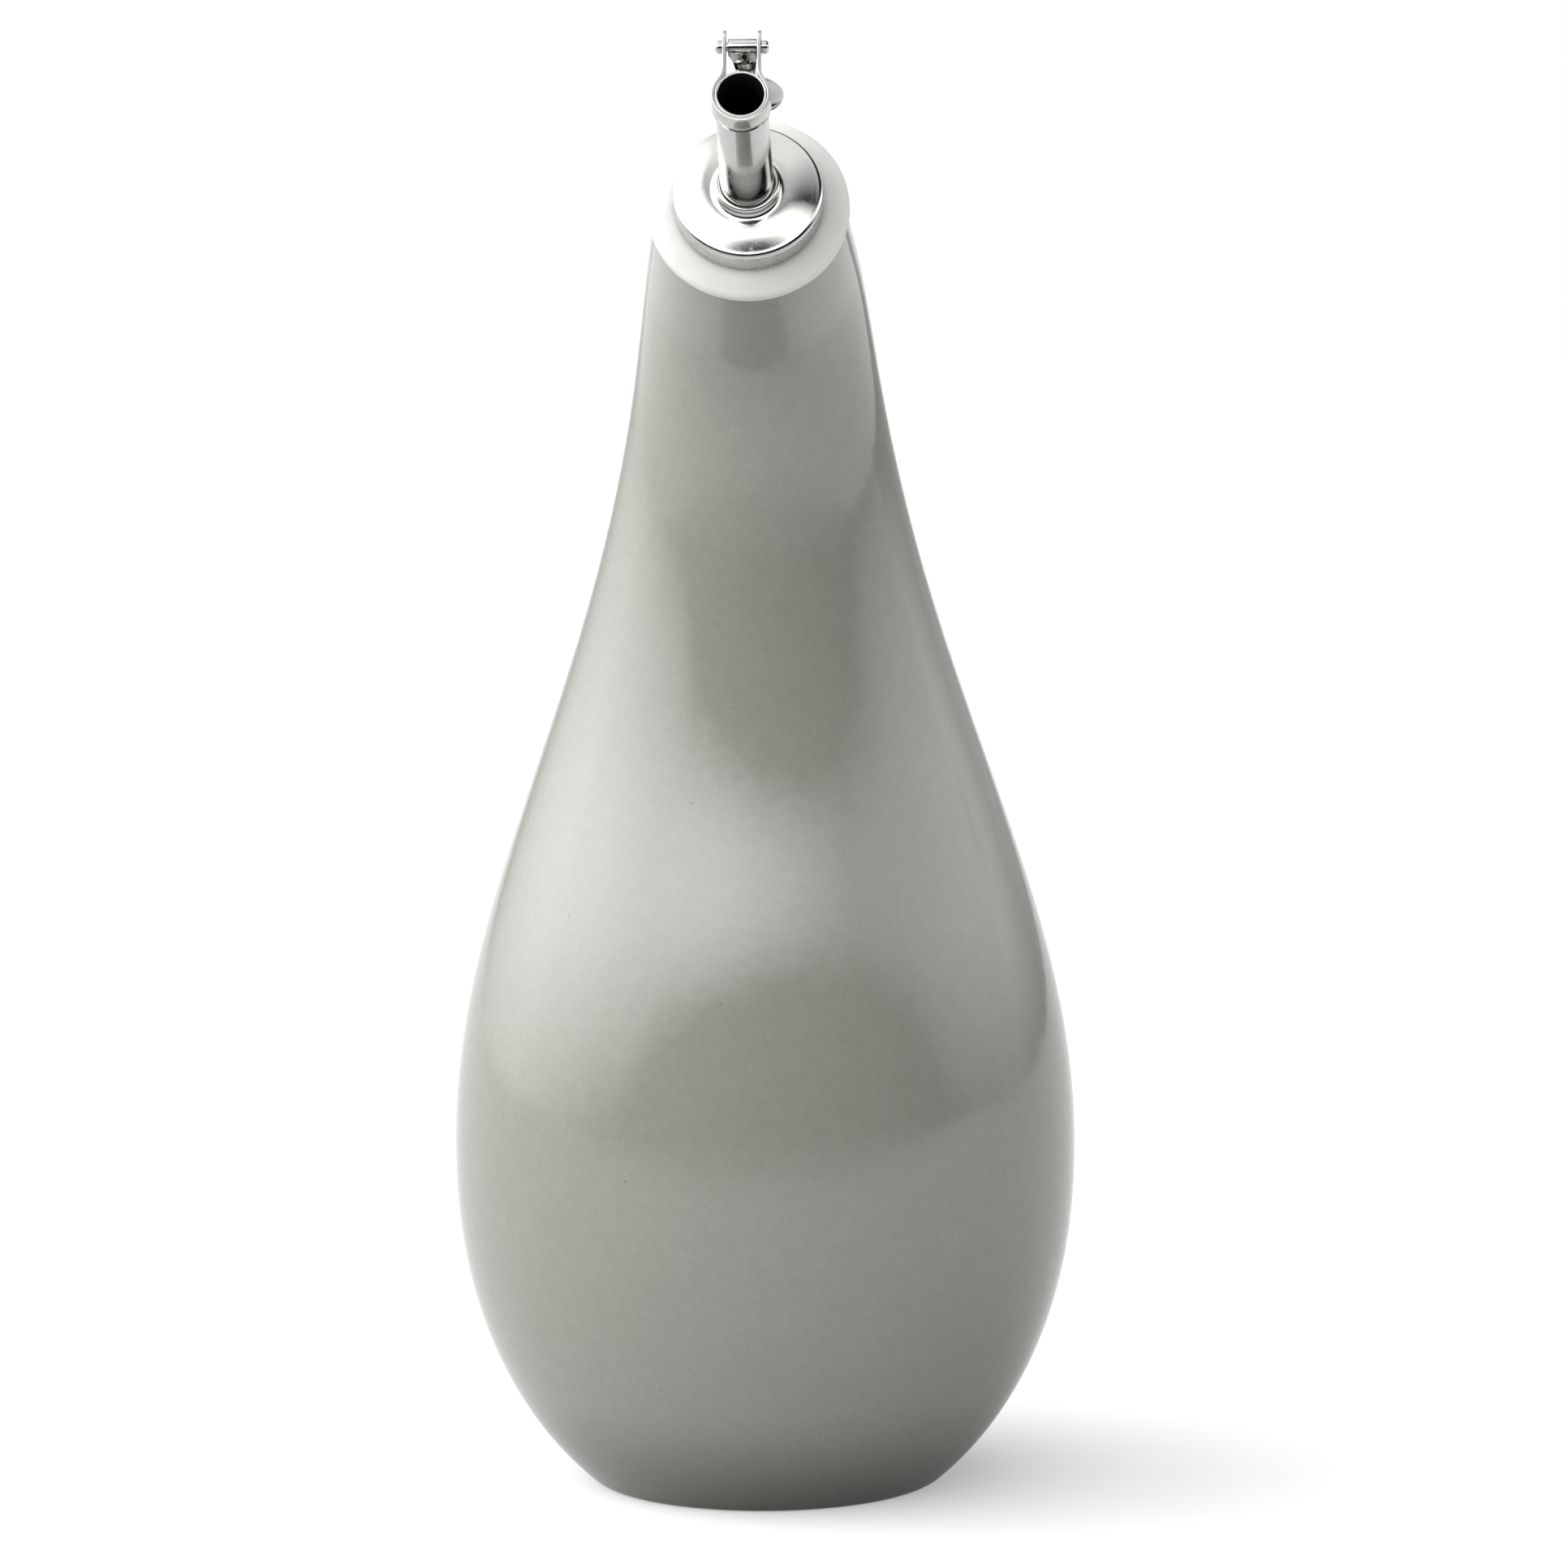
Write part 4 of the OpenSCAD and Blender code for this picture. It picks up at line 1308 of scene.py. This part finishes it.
def studio_world(settings):
    world = bpy.data.worlds.new("studio")
    bpy.context.scene.world = world
    world.use_nodes = True
    tree = world.node_tree
    background = tree.nodes["Background"]
    direction = add_node(tree, "ShaderNodeTexCoord").outputs["Generated"]
    axes = add_node(tree, "ShaderNodeSeparateXYZ", {"Vector": direction}).outputs
    towards_camera = maths(tree, "MULTIPLY", axes["Y"], -1.0)
    azimuth = maths(tree, "DEGREES", maths(tree, "ARCTAN2", axes["X"], towards_camera))
    elevation = maths(tree, "DEGREES", maths(tree, "ARCSINE", axes["Z"]))
    level = maths(tree, "MULTIPLY", wrapped_light(tree, azimuth, elevation), settings.light_level)
    # The plain backdrop is white to the camera, and where it stands also in gloss and glass
    rays = add_node(tree, "ShaderNodeLightPath").outputs
    backdrop = ramp(tree, maths(tree, "ABSOLUTE", azimuth), *BACKDROP_EDGE)
    backdrop = maths(tree, "MULTIPLY", backdrop, ramp(tree, elevation, *BACKDROP_FOOT))
    backdrop = maths(tree, "MULTIPLY", backdrop, ramp(tree, elevation, *BACKDROP_TOP, 1.0, 0.0))
    shiny = maths(tree, "ADD", rays["Is Glossy Ray"], rays["Is Transmission Ray"], True)
    in_gloss = maths(tree, "MULTIPLY", shiny, backdrop)
    white = maths(tree, "ADD", rays["Is Camera Ray"], in_gloss, True)
    unlit = maths(tree, "SUBTRACT", 1.0, white)
    level = maths(tree, "ADD", maths(tree, "MULTIPLY", level, unlit), white)
    tree.links.new(level, background.inputs["Strength"])
    background.inputs["Color"].default_value = (1, 1, 1, 1)


def floor_material(colours):
    """Pale table: white to the camera, a little less so in gloss, with painted shade in gloss on
    the camera's side, and with the shadow kept.
    """
    material, tree, shader, place = new_material("table")
    _, tone = clouded(tree, place, dimmed(colours.floor, 0.985), colours.floor,
                      Broad=8.0, Fine=60.0, Fine_Share=0.3)
    rays = add_node(tree, "ShaderNodeLightPath").outputs
    depth = add_node(tree, "ShaderNodeSeparateXYZ", {"Vector": place}).outputs["Y"]
    matt = maths(tree, "SUBTRACT", 1.0, rays["Is Glossy Ray"])
    # Painted shade on the table, seen only in gloss, darker towards the camera
    painted_floor_shade = maths(tree, "MAXIMUM", matt, ramp(tree, depth, *FLOOR_PAINTED_SHADE, PAINTED_SHADE_LEVEL, 1.0))
    tree.links.new(blend_colours(tree, painted_floor_shade, (0.0, 0.0, 0.0), tone), shader.inputs["Base Color"])
    shader.inputs["Roughness"].default_value = 0.9
    shader.inputs["Specular IOR Level"].default_value = 0.0
    shiny = maths(tree, "ADD", rays["Is Glossy Ray"], rays["Is Transmission Ray"], True)
    lift = maths(tree, "ADD", maths(tree, "MULTIPLY", rays["Is Camera Ray"], FLOOR_LIFT),
                 maths(tree, "MULTIPLY", shiny, GLOSS_LIFT))
    shader.inputs["Emission Color"].default_value = (1, 1, 1, 1)
    tree.links.new(maths(tree, "MULTIPLY", painted_floor_shade, lift), shader.inputs["Emission Strength"])
    return material


class SCENE_OT_bottle_studio(bpy.types.Operator):
    """Set the pale table, the soft studio light and the camera"""

    bl_idname = "scene.bottle_studio"
    bl_label = "Studio"

    TABLE_THICKNESS = 10 * MM
    # The photograph's size in pixels, and the camera's sensor in millimetres
    PICTURE, SENSOR = 1932.0, 36.0
    VIEW_DEPTH = 20.0

    def execute(self, context):
        scene = context.scene
        settings = scene.bottle_studio
        clear_selection()
        bpy.ops.mesh.primitive_circle_add(
            vertices=96, radius=settings.floor_radius, fill_type="NGON", location=(0, 0, 0)
        )
        floor = bpy.context.object
        floor.name = floor.data.name = "table_top"
        bpy.ops.object.mode_set(mode="EDIT")
        bpy.ops.mesh.extrude_region_move(
            TRANSFORM_OT_translate={"value": (0, 0, -self.TABLE_THICKNESS)}
        )
        close_skin()
        bpy.ops.object.mode_set(mode="OBJECT")
        floor.data.materials.append(floor_material(scene.bottle_colours))
        studio_world(settings)
        self.set_camera(scene, settings)
        scene.view_settings.view_transform = "Standard"
        return {"FINISHED"}

    def set_camera(self, scene, settings):
        azimuth, elevation = settings.camera_azimuth, settings.camera_elevation
        roll = settings.camera_roll
        out = math.cos(elevation)
        back = Vector((math.sin(azimuth) * out, -math.cos(azimuth) * out, math.sin(elevation)))
        level = Vector((math.cos(azimuth), math.sin(azimuth), 0))
        up = back.cross(level)
        right = level * math.cos(roll) + up * math.sin(roll)
        up = up * math.cos(roll) - level * math.sin(roll)
        place = Vector((0, 0, settings.aim_height)) + back * settings.camera_distance
        camera_data = bpy.data.cameras.new("studio_camera")
        camera = bpy.data.objects.new("studio_camera", camera_data)
        scene.collection.objects.link(camera)
        camera.matrix_world = Matrix((
            (right.x, up.x, back.x, place.x),
            (right.y, up.y, back.y, place.y),
            (right.z, up.z, back.z, place.z),
            (0, 0, 0, 1),
        ))
        camera_data.sensor_width = self.SENSOR
        camera_data.lens = settings.focal_px * self.SENSOR / self.PICTURE
        camera_data.shift_x = -settings.centre_x / self.PICTURE
        camera_data.shift_y = settings.centre_y / self.PICTURE
        camera_data.clip_end = self.VIEW_DEPTH
        scene.camera = camera


class VIEW3D_PT_bottle(bpy.types.Panel):
    """Lists the pieces and their sizes"""

    bl_label = "Dispenser Bottle"
    bl_idname = "VIEW3D_PT_bottle"
    bl_space_type = "VIEW_3D"
    bl_region_type = "UI"
    bl_category = "Bottle"

    def draw(self, context):
        layout = self.layout
        for operator in OPERATORS:
            layout.operator(operator.bl_idname)
        for name, group in GROUPS:
            box = layout.box()
            box.label(text=group.__doc__)
            settings = getattr(context.scene, name)
            for label in group.__annotations__:
                box.prop(settings, label)


OPERATORS = (
    OBJECT_OT_glazed_bottle,
    OBJECT_OT_moulded_stopper,
    OBJECT_OT_drawn_cover,
    OBJECT_OT_pouring_tubes,
    OBJECT_OT_hinge_strap,
    OBJECT_OT_hinge_pin,
    OBJECT_OT_flip_lid,
    SCENE_OT_bottle_studio,
)
CLASSES = (*(group for _, group in GROUPS), *OPERATORS, VIEW3D_PT_bottle)


def register():
    for entry in CLASSES:
        bpy.utils.register_class(entry)
    for name, group in GROUPS:
        setattr(bpy.types.Scene, name, bpy.props.PointerProperty(type=group))


def unregister():
    for name, _ in GROUPS:
        delattr(bpy.types.Scene, name)
    for entry in reversed(CLASSES):
        bpy.utils.unregister_class(entry)


def main():
    register()
    bpy.ops.object.glazed_bottle()
    bpy.ops.object.moulded_stopper()
    bpy.ops.object.drawn_cover()
    bpy.ops.object.pouring_tubes()
    bpy.ops.object.hinge_strap()
    bpy.ops.object.hinge_pin()
    bpy.ops.object.flip_lid()
    bpy.ops.scene.bottle_studio()


if __name__ == "__main__":
    main()
